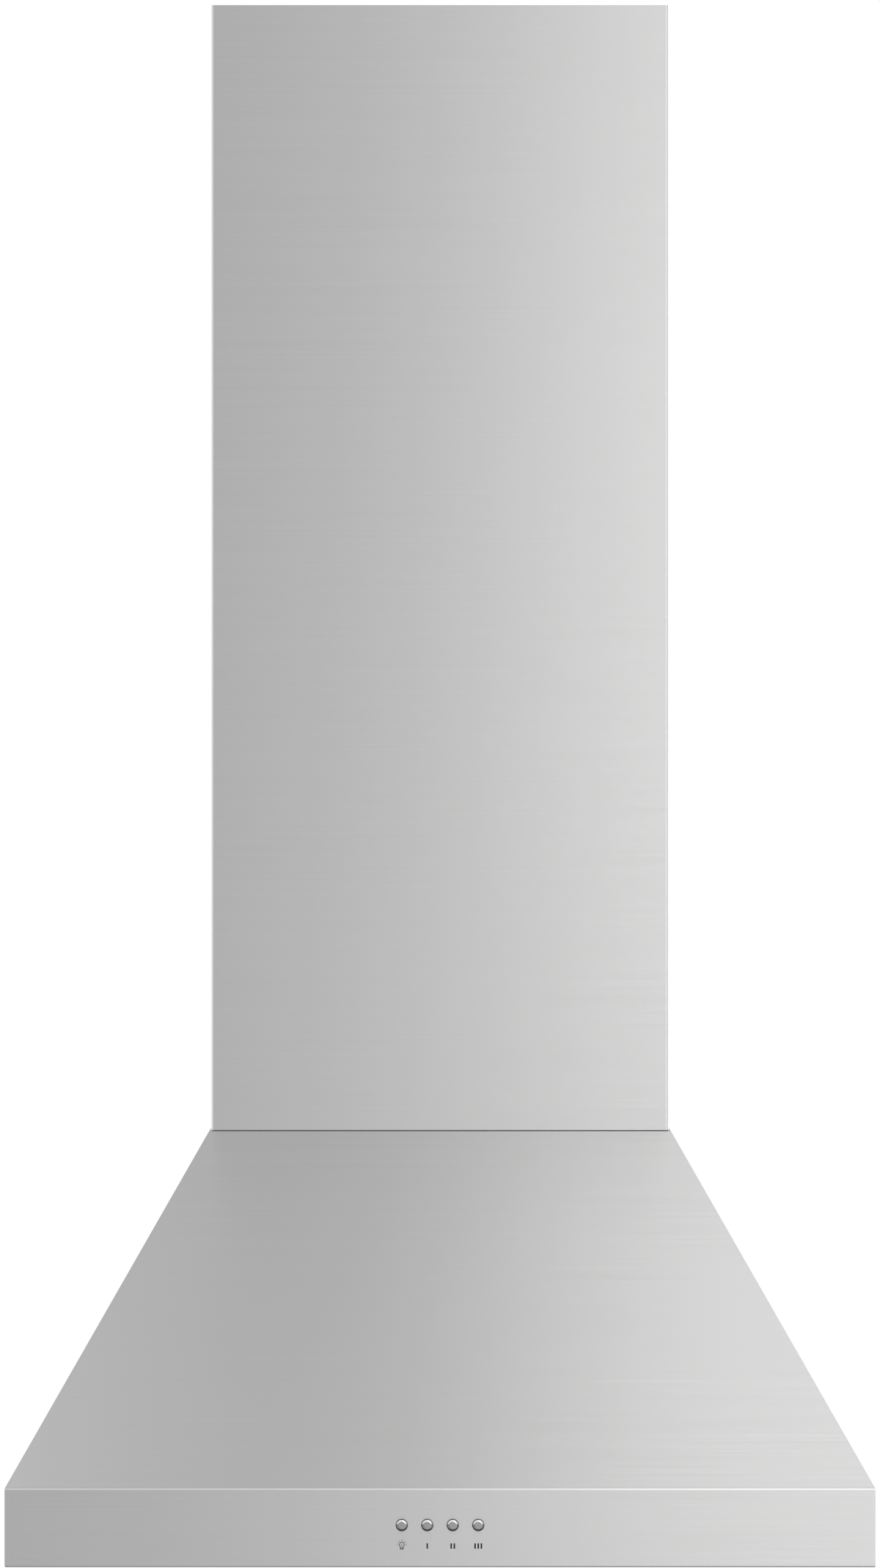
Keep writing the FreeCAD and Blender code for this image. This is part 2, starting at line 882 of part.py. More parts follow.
def outlet_block(grow, across, up):
    """Block over the scroll's outlet, grown out and in by grow."""
    return block(across, (wheel_out - scroll_tongue + grow, wheel_out - rear_reach - grow), up)


def blower_screw_places():
    """Feet of the screws between the top plate and the scroll's top flange, on both sides."""
    across = scroll_half_width + scroll_top_flange / 2
    front, back = wheel_out - scroll_tongue, wheel_out - rear_reach
    inset = (front - back) / 5
    return [at(x, out, plate_top) for x in (across, -across) for out in (front - inset, back + inset)]


def scroll_half():
    """Right half of the blower scroll with its inlet, joint flange and top flange."""
    wall = scroll_wall
    casing = scroll_block(wall, 0, scroll_half_width, plate_low)
    seam = scroll_block(wall + scroll_flange, 0, wall, plate_low - scroll_top_flange)
    cavity = scroll_block(0, -overrun, scroll_half_width - wall, plate_low + overrun)
    sides = (0, scroll_half_width + scroll_top_flange)
    top = outlet_block(scroll_top_flange / 2, sides, (plate_low - wall, plate_low))
    centre = wheel_point(0, 0, 0)
    mouth = inlet_radius + inlet_curl
    hole = bar(mouth, centre, centre + rightward * (scroll_half_width + overrun))
    shell = cut(fuse([casing, seam, top]), [cavity, hole])
    holes = upright_holes(screw_hole_radius, blower_screw_places() + collar_screw_places())
    return cut(fuse([shell, inlet_ring(centre, mouth)]), holes + spider_holes())


def inlet_ring(centre, mouth):
    """Curled lip of the inlet, turned about the wheel's axis."""
    outer = scroll_half_width

    def place(across, radius):
        return centre + Vector(across, 0, radius)

    def curl(radius, angle):
        bend = (outer - inlet_curl, mouth)
        return place(bend[0] + radius * math.cos(angle), bend[1] - radius * math.sin(angle))

    big, small = inlet_curl, inlet_curl - scroll_wall
    quarter = math.pi / 2
    edges = [
        Part.Arc(curl(big, 0), curl(big, quarter / 2), curl(big, quarter)).toShape(),
        Part.LineSegment(curl(big, quarter), curl(small, quarter)).toShape(),
        Part.Arc(curl(small, quarter), curl(small, quarter / 2), curl(small, 0)).toShape(),
        Part.LineSegment(curl(small, 0), curl(big, 0)).toShape(),
    ]
    return Part.Face(Part.Wire(edges)).revolve(centre, rightward, 360)


def spider_angles():
    """Angles of the motor bracket's arms about the wheel's axis."""
    return [math.pi / 2 + 2 * math.pi * i / spider_arms for i in range(spider_arms)]


def spider_point(across, radius, angle):
    """Point about the wheel's axis by radius and angle."""
    return wheel_point(radius * math.cos(angle), radius * math.sin(angle), across)


def spider_screw_places():
    """Feet of the screws on the motor bracket's arms."""
    return [spider_point(scroll_half_width + bracket_sheet, spider_bolt_circle, a) for a in spider_angles()]


def spider_holes():
    """Screw holes of the motor bracket, through its arms and the scroll's side."""
    reach = rightward * screw_length
    return [bar(screw_hole_radius, p + reach, p - reach) for p in spider_screw_places()]


def motor_bracket():
    """Pressed three-armed bracket that clamps the motor in the right inlet."""
    start = scroll_half_width
    inner, outer = motor_radius, motor_radius + spider_ring_wall
    arms = []
    for angle in spider_angles():
        side = Vector(0, math.sin(angle), math.cos(angle)) * (spider_arm_width / 2)
        foot = spider_point(start, inner + spider_ring_wall / 2, angle)
        tip = spider_point(start, spider_reach, angle)
        points = [foot - side, tip - side, tip + side, foot + side]
        corner = spider_arm_width / 3
        arms.append(prism(points, [0, corner, corner, 0], rightward * bracket_sheet))
    ring_start, ring_end = wheel_point(0, 0, start), wheel_point(0, 0, start + spider_ring_length)
    ring = bar(outer, ring_start, ring_end)
    hole = bar(inner, ring_start - rightward * overrun, ring_end + rightward * overrun)
    return cut(fuse([ring] + arms), [hole] + spider_holes())


def impeller():
    """Squirrel cage wheel: centre disc, hub, forward-curved blades and a ring at each end."""
    centre = wheel_point(0, 0, 0)
    disc_half = wheel_disc_thickness / 2
    disc = bar(wheel_radius, centre - rightward * disc_half, centre + rightward * disc_half)
    hub = bar(hub_radius, centre - rightward * hub_length, centre)
    edge = centre + rightward * wheel_half_width
    inner_edge = edge - rightward * wheel_ring_thickness
    ring = pipe(wheel_radius, wheel_radius - wheel_ring_width, edge, inner_edge)
    lead = math.radians(blade_lead_angle)
    run = blade_outer_radius * math.cos(lead) - blade_inner_radius
    rise = blade_outer_radius * math.sin(lead)
    bend = (run**2 + rise**2) / (2 * rise)
    sweep = math.atan2(run, bend - rise)

    def place(radius, angle):
        out, up = blade_inner_radius + radius * math.sin(angle), bend - radius * math.cos(angle)
        return Vector(-wheel_half_width, out, up)

    small = bend - blade_thickness
    edges = [
        Part.Arc(place(bend, 0), place(bend, sweep / 2), place(bend, sweep)).toShape(),
        Part.LineSegment(place(bend, sweep), place(small, sweep)).toShape(),
        Part.Arc(place(small, sweep), place(small, sweep / 2), place(small, 0)).toShape(),
        Part.LineSegment(place(small, 0), place(bend, 0)).toShape(),
    ]
    blade = Part.Face(Part.Wire(edges)).extrude(rightward * (2 * wheel_half_width))
    blades = []
    for i in range(blade_count):
        copy = blade.copy()
        copy.rotate(Vector(0, 0, 0), rightward, 360 * i / blade_count)
        copy.translate(centre)
        blades.append(copy)
    wheel = fuse([disc, hub] + both(ring) + blades)
    reach = rightward * (hub_length + overrun)
    return wheel.cut(bar(shaft_radius, centre - reach, centre + reach))


def motor_shaft():
    """Steel shaft pressed into the hub, running in the motor's bore."""
    start = wheel_point(0, 0, -hub_length)
    return bar(shaft_radius, start, start + rightward * shaft_length)


def motor():
    """Closed round motor with a boss at each end and a bore for the shaft."""
    start, end = wheel_point(0, 0, motor_start), wheel_point(0, 0, motor_start + motor_length)
    can = bar(motor_radius, start, end)
    can = can.makeChamfer(motor_edge, [e for e in can.Edges if len(e.Vertexes) == 1])
    boss_start = start - rightward * motor_boss_length
    bosses = bar(motor_boss_radius, boss_start, end + rightward * motor_boss_length)
    bore_end = wheel_point(0, 0, shaft_length - hub_length + pivot_end_play)
    bore = bar(shaft_radius + running_gap, boss_start - rightward * overrun, bore_end)
    return fuse([can, bosses]).cut(bore)


def capacitor():
    """Run capacitor hanging by its stud and nut from the top plate."""
    head = at(capacitor_across, capacitor_out, plate_low)
    foot = head - upward * capacitor_length
    can = bar(capacitor_radius, foot, head)
    lower_edges = [e for e in can.Edges if abs(e.CenterOfMass.z - foot.z) < running_gap]
    can = can.makeFillet(capacitor_edge, lower_edges)
    stud = bar(capacitor_stud_radius, head, head + upward * (plate_sheet + capacitor_stud_length))
    nut = hexagon(capacitor_nut_radius, head + upward * plate_sheet, capacitor_nut_height)
    return fuse([can, stud, nut])


# Top plate, duct collar and damper


def collar_screw_places():
    """Feet of the four screws of the collar's flange."""
    reach = (collar_radius + collar_flange_radius) / 2
    turns = [math.pi / 4 + i * math.pi / 2 for i in range(4)]
    return [at(reach * math.cos(a), duct_out + reach * math.sin(a), collar_base) for a in turns]


def top_plate():
    """Plate below the canopy's top flange, which carries the blower below and the collar above."""
    side_shift = canopy_sheet * math.hypot(side_run, slope_height) / slope_height
    front_shift = canopy_sheet * math.hypot(front_run, slope_height) / slope_height
    half = top_half - side_shift - fit_gap
    plate = block((-half, half), (panel_back, top_front - front_shift - fit_gap), (plate_low, plate_top))
    outlet = upright_holes(outlet_hole_radius, [at(0, duct_out, plate_top)])
    stud_foot = at(capacitor_across, capacitor_out, plate_top)
    stud = upright_holes(capacitor_stud_radius + screw_hole_gap, [stud_foot])
    places = collar_screw_places() + blower_screw_places() + chimney_screw_places()
    return cut(plate, outlet + stud + upright_holes(screw_hole_radius, places))


def duct_collar():
    """Round collar for the duct, with a screwed flange and blind seats for the rod."""
    centre = at(0, duct_out, 0)

    def place(radius, up):
        return centre + Vector(radius, 0, up)

    inner = collar_radius - collar_wall
    high = plate_top + collar_height
    points = [
        place(inner, plate_top),
        place(collar_flange_radius, plate_top),
        place(collar_flange_radius, collar_base),
        place(collar_radius, collar_base),
        place(collar_radius, high),
        place(inner, high),
    ]
    collar = turned(points, [0, 0, fold_bend, fold_bend, fold_bend / 2, 0], centre)
    seat = rod_line(damper_rod_radius + running_gap, inner + damper_seat)
    return cut(collar, [seat] + upright_holes(screw_hole_radius, collar_screw_places()))


def rod_line(radius, reach):
    """Bar along the damper's axis, reaching as far to each side of its middle."""
    return bar(radius, at(-reach, duct_out, damper_up), at(reach, duct_out, damper_up))


def damper_rod():
    """Fixed rod across the collar that both flaps turn on."""
    return rod_line(damper_rod_radius, collar_radius - collar_wall + damper_seat - fit_gap / 2)


def damper_flap():
    """Half-round flap on the wall side of the rod, with two knuckles round it."""
    radius = collar_radius - collar_wall - damper_gap
    low = damper_up - damper_thickness / 2
    disc = bar(radius, at(0, duct_out, low), at(0, duct_out, low + damper_thickness))
    start = knuckle_radius + fit_gap
    levels = (low, low + damper_thickness)
    rear = block((-radius, radius), (duct_out - start, duct_out - radius - overrun), levels)
    shapes = [disc.common(rear)]
    for place in knuckle_places:
        end = place + knuckle_length
        shapes.append(bar(knuckle_radius, at(place, duct_out, damper_up), at(end, duct_out, damper_up)))
        shapes.append(block((place, end), (duct_out, duct_out - 2 * start), levels))
    return fuse(shapes).cut(rod_line(damper_rod_radius + knuckle_bore_gap, radius))


def turned_half(shape):
    """The same shape turned half round about the collar's axis."""
    copy = shape.copy()
    copy.rotate(at(0, duct_out, 0), upward, 180)
    return copy


# Terminal box


def terminal_places():
    """Pairs of places of the terminal box, beside the duct collar: across, out from the wall and up."""
    return (
        (collar_flange_radius + terminal_collar_gap, top_half - top_flange - fit_gap),
        (terminal_setback, terminal_setback + terminal_length),
        (plate_top, plate_top + terminal_height),
    )


def gland_foot():
    """Foot of the cable gland on top of the terminal box."""
    across, out, up = terminal_places()
    return at(sum(across) / 2, sum(out) / 2, up[1])


def drawn_in(places, by):
    """Pair of places moved towards each other."""
    return places[0] + by, places[1] - by


def terminal_posts(grow, out):
    """Square posts for the cover's screws, grown all round, between two places out from the wall."""
    half = 2 * terminal_wall + grow
    return [block((p.x - half, p.x + half), out, (p.z - half, p.z + half)) for p in terminal_screw_places()]


def terminal_screw_holes():
    """Tools for the holes of the cover's screws."""
    return [
        bar(screw_hole_radius, p - backward * terminal_wall, p + backward * (2 * screw_length))
        for p in terminal_screw_places()
    ]


def terminal_box():
    """Moulded box open towards the front, standing on the top plate."""
    across, out, up = terminal_places()
    outer = block(across, out, up)
    roof = [e for e in outer.Edges if abs(e.CenterOfMass.z - up[1]) < running_gap]
    outer = outer.makeFillet(fold_bend, [e for e in roof if e.BoundBox.YLength > terminal_wall])
    wall = terminal_wall
    inner = block(drawn_in(across, wall), (out[0] + wall, out[1] + overrun), drawn_in(up, wall))
    posts = terminal_posts(0, (out[1] - wall - screw_length, out[1] - wall))
    shell = fuse([outer.cut(inner)] + posts)
    return cut(shell, upright_holes(gland_radius + screw_hole_gap, [gland_foot()]) + terminal_screw_holes())


def terminal_screw_places():
    """Feet of the two screws of the terminal cover, in opposite corners."""
    across, out, up = terminal_places()
    left, right = drawn_in(across, 3 * terminal_wall)
    low, high = drawn_in(up, 3 * terminal_wall)
    front = out[1] + terminal_wall
    return [at(left, front, low), at(right, front, high)]


def terminal_cover():
    """Flat cover of the terminal box with a rib that fits inside its mouth."""
    across, out, up = terminal_places()
    wall = terminal_wall
    depth = (out[1] - wall, out[1])
    plate = block(across, (out[1], out[1] + wall), up)
    gap = wall + fit_gap
    rib = block(drawn_in(across, gap), depth, drawn_in(up, gap))
    hollow = block(drawn_in(across, gap + wall), depth, drawn_in(up, gap + wall))
    cover = fuse([plate, cut(rib, [hollow] + terminal_posts(fit_gap, depth))])
    return cut(cover, terminal_screw_holes())


def terminal_block():
    """Screw terminal strip standing in the box."""
    across, out, up = terminal_places()
    across = drawn_in(across, (across[1] - across[0]) / 4)
    out = drawn_in(out, (out[1] - out[0]) * (1 - terminal_block_share) / 2)
    low = up[0] + terminal_wall
    high = low + terminal_block_height
    strip = block(across, out, (low, high))
    notches = []
    for i in range(1, 4):
        place = out[0] + (out[1] - out[0]) * i / 4
        sides = (place - terminal_wall / 2, place + terminal_wall / 2)
        notches.append(block(across, sides, ((low + high) / 2, high)))
    return cut(strip, notches)


def cable_gland():
    """Gland in the top of the terminal box: six-sided nut, dome and a through bore for the mains lead."""
    foot = gland_foot()
    nut = hexagon(gland_nut_radius, foot, gland_nut_height)
    high = foot + upward * gland_height
    dome = bar(gland_radius, foot - upward * terminal_wall, high)
    rims = [e for e in dome.Edges if abs(e.CenterOfMass.z - high.z) < running_gap]
    dome = dome.makeFillet(fold_bend, rims)
    return fuse([nut, dome]).cut(bar(gland_bore_radius, foot - upward * overrun, high + upward * overrun))


# Chimney covers and their wall bracket


def cover(inset, low, high):
    """Chimney cover open at the back, folded from one sheet, its faces moved inwards by inset."""
    half = chimney_width / 2 - inset
    front = chimney_depth - inset
    points = [
        (half - cover_return, -inset),
        (half, -inset),
        (half, -front),
        (-half, -front),
        (-half, -inset),
        (cover_return - half, -inset),
    ]
    rise = upward * (high - low)
    return folded(points[::-1], cover_sheet, cover_bend, lambda x, y: Vector(x, y, low), rise)


def lower_chimney():
    """Lower cover with a foot turned in at each side, which stands on the canopy's top flange."""
    shell = cover(0, canopy_top + seam_gap, cover_top)
    half = chimney_width / 2
    foot = block(
        (half - cover_foot, half - cover_sheet / 2),
        (duct_out - cover_foot_length / 2, duct_out + cover_foot_length / 2),
        (canopy_top, canopy_top + seam_gap + cover_sheet),
    )
    return cut(fuse([shell] + both(foot)), upright_holes(screw_hole_radius, chimney_screw_places()))


def chimney_screw_places():
    """Feet of the screws that hold the lower cover's feet to the canopy."""
    half = chimney_width / 2 - cover_foot / 2 - cover_sheet
    up = canopy_top + seam_gap + cover_sheet
    inset = cover_foot_length / 4
    return [at(x, out, up) for x in (-half, half) for out in (duct_out - inset, duct_out + inset)]


def upper_inset():
    """How far the upper cover's faces lie inside the lower cover's."""
    return cover_sheet + fit_gap


def upper_chimney():
    """Upper cover, nested inside the lower one, with a row of vent slots near the top of each side."""
    high = cover_top - upper_drop
    shell = cover(upper_inset(), high - upper_length, high)
    half = chimney_width / 2
    ends = (duct_out - vent_length / 2, duct_out + vent_length / 2)
    slots = []
    for i in range(vent_count):
        up = high - vent_drop - i * vent_pitch
        slots += both(block((half - overrun, half + overrun), ends, (up, up + vent_width)))
    return cut(shell, slots + bracket_screws(screw_hole_gap))


def bracket_middle():
    """Height of the middle of the upper cover's wall bracket."""
    return cover_top - upper_drop - bracket_drop - bracket_height / 2


def bracket_screws(grow=0):
    """Countersunk screws between the upper cover and its wall bracket, or with grow their holes."""
    half = chimney_width / 2 - upper_inset()
    out = bracket_offset + bracket_ear / 2
    return both(flush_screw(at(half, out, bracket_middle()), -rightward, grow))


def chimney_bracket():
    """Folded bracket on the wall that holds the top of the upper cover between its ears."""
    half = chimney_width / 2 - upper_inset() - cover_sheet
    sheet = bracket_sheet
    step = upper_inset() + cover_sheet + fit_gap + sheet
    turn = half - bracket_inset
    # Base line is the wall side of the sheet, from the right ear to the left one
    points = [
        (half, step + bracket_ear),
        (half, step - sheet),
        (turn, step - sheet),
        (turn - step, 0),
        (step - turn, 0),
        (-turn, step - sheet),
        (-half, step - sheet),
        (-half, step + bracket_ear),
    ]
    middle = bracket_middle()
    low = middle - bracket_height / 2
    strip = folded(points[::-1], sheet, fold_bend, lambda x, out: at(x, out, low), upward * bracket_height)
    across = bracket_bolt_spacing / 2
    hole = bar(bracket_bolt_radius, at(across, -overrun, middle), at(across, overrun, middle))
    return cut(strip, both(hole) + bracket_screws(screw_hole_gap))


# Screws, each kind one group


def screws(places, axis):
    """Group of like screws."""
    return Part.Compound([screw(p, axis) for p in places])


pieces = {
    "canopy_shell": canopy_shell(),
    "back_panel": back_panel(),
    "bottom_panel": bottom_panel(),
    "top_plate": top_plate(),
    "lower_chimney": lower_chimney(),
    "upper_chimney": upper_chimney(),
    "chimney_bracket": chimney_bracket(),
    "switch_housing": switch_housing(),
    "switch_bracket": switch_bracket(),
    "scroll_right": scroll_half(),
    "scroll_left": mirrored(scroll_half()),
    "impeller": impeller(),
    "motor_shaft": motor_shaft(),
    "motor": motor(),
    "motor_bracket": motor_bracket(),
    "capacitor": capacitor(),
    "duct_collar": duct_collar(),
    "damper_rod": damper_rod(),
    "damper_flap_rear": damper_flap(),
    "damper_flap_front": turned_half(damper_flap()),
    "terminal_box": terminal_box(),
    "terminal_cover": terminal_cover(),
    "terminal_block": terminal_block(),
    "cable_gland": cable_gland(),
    "chimney_screws": screws(chimney_screw_places(), -upward),
    "upper_chimney_screws": Part.Compound(bracket_screws()),
    "collar_screws": screws(collar_screw_places(), -upward),
    "blower_screws": screws(blower_screw_places(), -upward),
    "motor_bracket_screws": screws(spider_screw_places(), -rightward),
    "panel_screws": Part.Compound([flush_screw(p, upward) for p in panel_screw_places()]),
    "switch_screws": screws(switch_screw_places(), -backward),
    "terminal_screws": screws(terminal_screw_places(), backward),
    "levelling_bolts": Part.Compound(both(levelling_bolt())),
}
pairs = {
    "wall_hook": wall_hook,
    "levelling_block": levelling_block,
    "filter_frame": filter_frame,
    "filter_mesh": filter_mesh,
    "latch_case": latch_case,
    "latch_slider": latch_slider,
    "lamp_housing": lamp_housing,
    "lamp_bezel": lamp_bezel,
    "lamp_lens": lamp_lens,
    "lamp_board": lamp_board,
}
for name, make in pairs.items():
    shape = make()
    pieces[name + "_right"] = shape
    pieces[name + "_left"] = mirrored(shape)
for name, across in zip(("light", "low", "medium", "high"), button_places()):
    pieces["button_" + name] = button(across)
for name, shape in pieces.items():
    if not shape.isValid() or not shape.Solids:
        print("check", name, shape.isValid(), len(shape.Solids))
    save(name, shape)
print(len(pieces), "sub-parts")
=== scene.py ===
import json
import math

import bmesh
import bpy
from mathutils import Matrix, Vector

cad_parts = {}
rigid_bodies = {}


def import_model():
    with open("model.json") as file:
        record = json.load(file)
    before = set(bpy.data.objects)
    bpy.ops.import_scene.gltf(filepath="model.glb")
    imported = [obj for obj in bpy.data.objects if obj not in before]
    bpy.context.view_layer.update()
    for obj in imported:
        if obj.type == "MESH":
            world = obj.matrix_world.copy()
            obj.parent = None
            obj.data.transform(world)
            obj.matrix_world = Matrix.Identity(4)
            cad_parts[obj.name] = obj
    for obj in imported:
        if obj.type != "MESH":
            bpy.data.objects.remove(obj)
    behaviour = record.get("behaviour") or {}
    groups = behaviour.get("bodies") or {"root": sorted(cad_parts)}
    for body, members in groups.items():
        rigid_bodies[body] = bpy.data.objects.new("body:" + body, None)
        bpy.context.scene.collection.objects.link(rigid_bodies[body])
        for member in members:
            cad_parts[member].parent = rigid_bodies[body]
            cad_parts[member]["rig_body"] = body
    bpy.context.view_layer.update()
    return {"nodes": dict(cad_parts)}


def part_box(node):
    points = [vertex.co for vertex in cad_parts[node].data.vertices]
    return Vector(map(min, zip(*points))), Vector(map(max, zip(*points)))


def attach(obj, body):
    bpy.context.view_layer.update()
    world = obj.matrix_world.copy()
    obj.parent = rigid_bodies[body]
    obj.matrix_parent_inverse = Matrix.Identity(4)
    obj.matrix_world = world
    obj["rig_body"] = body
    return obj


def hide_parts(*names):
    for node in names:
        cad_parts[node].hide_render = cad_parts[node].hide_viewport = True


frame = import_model()

# Camera, level and straight in front of the hood, far enough away that its upright edges stay parallel.
# The picture's long side is upright, so the sensor's size is measured along it.
scene = bpy.context.scene
scene.view_settings.view_transform = "Standard"
rim_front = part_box("canopy_shell")[0].y
camera_distance = 12.0
camera_height = 0.348
view_height = 1.077
sensor_millimetres = 36.0
nearest_seen = 0.5
farthest_seen = 400
lens = bpy.data.cameras.new("camera")
lens.sensor_width = sensor_millimetres
lens.lens = sensor_millimetres * camera_distance / view_height
lens.clip_start = nearest_seen
lens.clip_end = farthest_seen
camera = bpy.data.objects.new("camera", lens)
camera.location = (0, rim_front - camera_distance, camera_height)
camera.rotation_euler = (math.pi / 2, 0, 0)
scene.collection.objects.link(camera)
scene.camera = camera


# Studio floor, well below the hood as a kitchen floor is, pale and seen from above only.
# Camera, mirror and glass rays get a little light added, so that it reads as white and keeps its shadow.
def place(tree, kind, inputs, **settings):
    """Shader node. Inputs pairs a socket's name or number with a value or another node's output."""
    made = tree.nodes.new("ShaderNode" + kind)
    for name, value in settings.items():
        setattr(made, name, value)
    for name, value in inputs.items():
        if isinstance(value, bpy.types.NodeSocket):
            tree.links.new(value, made.inputs[name])
        else:
            made.inputs[name].default_value = value
    return made


def sums(tree, operation, first, second=0.0):
    """Output of one sum of one or two values."""
    return place(tree, "Math", {0: first, 1: second}, operation=operation).outputs[0]


def seen_rays(tree):
    """One for camera, mirror and glass rays, nought for the rays that light things."""
    rays = place(tree, "LightPath", {})
    seen = sums(tree, "MAXIMUM", rays.outputs["Is Camera Ray"], rays.outputs["Is Glossy Ray"])
    return sums(tree, "MAXIMUM", seen, rays.outputs["Is Transmission Ray"])


def empty_material(name):
    """Material with nothing but its output."""
    made = bpy.data.materials.new(name)
    made.use_nodes = True
    made.node_tree.nodes.clear()
    return made, made.node_tree, made.node_tree.nodes.new("ShaderNodeOutputMaterial")


floor_drop = 1.1
floor_reach = 60.0
floor_colour = (0.80, 0.80, 0.80, 1)
floor_glow = 0.44
white_light = (1, 1, 1, 1)
floor_mesh = bpy.data.meshes.new("floor")
corners = [(-1, -1), (1, -1), (1, 1), (-1, 1)]
spots = [(x * floor_reach, y * floor_reach, -floor_drop) for x, y in corners]
floor_mesh.from_pydata(spots, [], [(0, 1, 2, 3)])
floor = bpy.data.objects.new("floor", floor_mesh)
scene.collection.objects.link(floor)
floor_paint, tree, out = empty_material("floor_paint")
matt = place(tree, "BsdfDiffuse", {"Color": floor_colour})
glow_strength = sums(tree, "MULTIPLY", seen_rays(tree), floor_glow)
glow = place(tree, "Emission", {"Color": white_light, "Strength": glow_strength})
lit = place(tree, "AddShader", {0: matt.outputs[0], 1: glow.outputs[0]})
below = place(tree, "NewGeometry", {}).outputs["Backfacing"]
clear = place(tree, "BsdfTransparent", {})
sided = place(tree, "MixShader", {0: below, 1: lit.outputs[0], 2: clear.outputs[0]})
tree.links.new(sided.outputs[0], out.inputs["Surface"])
floor_mesh.materials.append(floor_paint)

# World, white where it is seen or mirrored, and a plain level where it lights the hood.
world_light = 0.72
world = bpy.data.worlds.new("studio")
scene.world = world
world.use_nodes = True
tree = world.node_tree
tree.nodes.clear()
plain = place(tree, "Background", {"Color": white_light, "Strength": world_light})
white = place(tree, "Background", {"Color": white_light, "Strength": 1.0})
both = place(tree, "MixShader", {0: seen_rays(tree), 1: plain.outputs[0], 2: white.outputs[0]})
tree.links.new(both.outputs[0], place(tree, "OutputWorld", {}).inputs["Surface"])


# Soft boxes, most of them to the right of the middle, which give the steel its slow change from left to right.
# The side boxes stand behind the front faces and light the hood's sides alone.
# Each is given by its middle, what it faces, its width and height, and how bright its face is.
def soft_box(name, middle, target, size, brightness):
    """Rectangular lamp facing a point."""
    lamp = bpy.data.lights.new(name, "AREA")
    lamp.shape = "RECTANGLE"
    lamp.size, lamp.size_y = size
    lamp.energy = brightness * math.pi * size[0] * size[1]
    box = bpy.data.objects.new(name, lamp)
    box.location = middle
    box.rotation_euler = (Vector(target) - Vector(middle)).to_track_quat("-Z", "Y").to_euler()
    box.visible_camera = False
    scene.collection.objects.link(box)


soft_box("chimney_soft_box", (0.72, -2.2, 0.86), (0.72, 0.0, 0.86), (1.26, 1.8), 1.17)
soft_box("rim_soft_box", (1.3, -4.5, -0.5), (1.3, 0.0, -0.5), (2.6, 1.2), 1.7)
soft_box("top_soft_box", (0.72, -0.75, 2.2), (0.72, -0.75, 0.0), (1.3, 1.2), 1.52)
soft_box("ceiling_soft_box", (0.0, -0.9, 2.3), (0.0, -0.9, 0.0), (2.8, 1.2), 0.21)
soft_box("left_soft_box", (-0.95, -0.75, 2.2), (-0.95, -0.75, 0.0), (1.1, 1.2), 1.12)
soft_box("right_side_soft_box", (2.4, 1.3, 0.5), (0.0, 1.3, 0.5), (2.4, 2.0), 1.1)
soft_box("left_side_soft_box", (-2.4, 1.3, 0.5), (0.0, 1.3, 0.5), (2.4, 2.0), 0.6)
soft_box("front_left_soft_box", (-2.6, -2.4, 0.7), (-0.2, 0.0, 0.7), (1.2, 2.0), 0.3)


# Canopy: brushed stainless steel sheet, folded and welded at the corners, with its grain level all round.
# The grain is fine streaks along the sheet that spread reflections up and down.
def shader_group(name, inputs, outputs):
    """Empty shader group with number inputs and outputs, and its two end nodes."""
    group = bpy.data.node_groups.new(name, "ShaderNodeTree")
    for socket in inputs:
        group.interface.new_socket(socket, in_out="INPUT", socket_type="NodeSocketFloat")
    for socket in outputs:
        group.interface.new_socket(socket, in_out="OUTPUT", socket_type="NodeSocketFloat")
    return group, group.nodes.new("NodeGroupInput"), group.nodes.new("NodeGroupOutput")


def brushed_grain():
    """Streaks level along upright sheets and across flat ones, from nought to one."""
    group, given, made = shader_group("brushed_grain", ["Along", "Across"], ["Streaks", "Drift"])
    spot = place(group, "TexCoord", {})
    axes = place(group, "SeparateXYZ", {0: spot.outputs["Object"]})
    facing = place(group, "SeparateXYZ", {0: spot.outputs["Normal"]})
    lies_flat = 0.95
    lying = sums(group, "GREATER_THAN", sums(group, "ABSOLUTE", facing.outputs["Z"]), lies_flat)
    x = sums(group, "MULTIPLY", axes.outputs["X"], given.outputs["Along"])
    y_scale = place(group, "Mix", {0: lying, 2: given.outputs["Along"], 3: given.outputs["Across"]})
    y = sums(group, "MULTIPLY", axes.outputs["Y"], y_scale.outputs[0])
    z = sums(group, "MULTIPLY", axes.outputs["Z"], given.outputs["Across"])
    grain_place = place(group, "CombineXYZ", {0: x, 1: y, 2: z})
    fine = {"Vector": grain_place.outputs[0], "Scale": 1.0, "Detail": 3.0, "Roughness": 0.65}
    streaks = place(group, "TexNoise", fine)
    drift = place(group, "TexNoise", {"Vector": spot.outputs["Object"], "Scale": 2.2, "Detail": 1.0})
    group.links.new(streaks.outputs[0], made.inputs["Streaks"])
    group.links.new(drift.outputs[0], made.inputs["Drift"])
    return group


def use_group(tree, group, **values):
    """Places a shader group in a material with its own values."""
    made = tree.nodes.new("ShaderNodeGroup")
    made.node_tree = group
    for name, value in values.items():
        made.inputs[name].default_value = value
    return made


def ranged(tree, value, low, high, start=0.0, end=1.0):
    """Value carried over from start and end to low and high."""
    inputs = {"Value": value, "From Min": start, "From Max": end, "To Min": low, "To Max": high}
    return place(tree, "MapRange", inputs).outputs[0]


def mixed_colour(tree, share, first, second):
    """Colour between a first one, plain or from another node, and a plain second one."""
    if not isinstance(first, bpy.types.NodeSocket):
        first = (*first, 1)
    return place(tree, "Mix", {0: share, 6: first, 7: (*second, 1)}, data_type="RGBA").outputs[2]


def finish(name, **sockets):
    """Material with a Principled shader, the plain values set on its own sockets."""
    made, tree, out = empty_material(name)
    shader = place(tree, "BsdfPrincipled", {key.replace("_", " "): value for key, value in sockets.items()})
    tree.links.new(shader.outputs[0], out.inputs["Surface"])
    return made, tree, shader


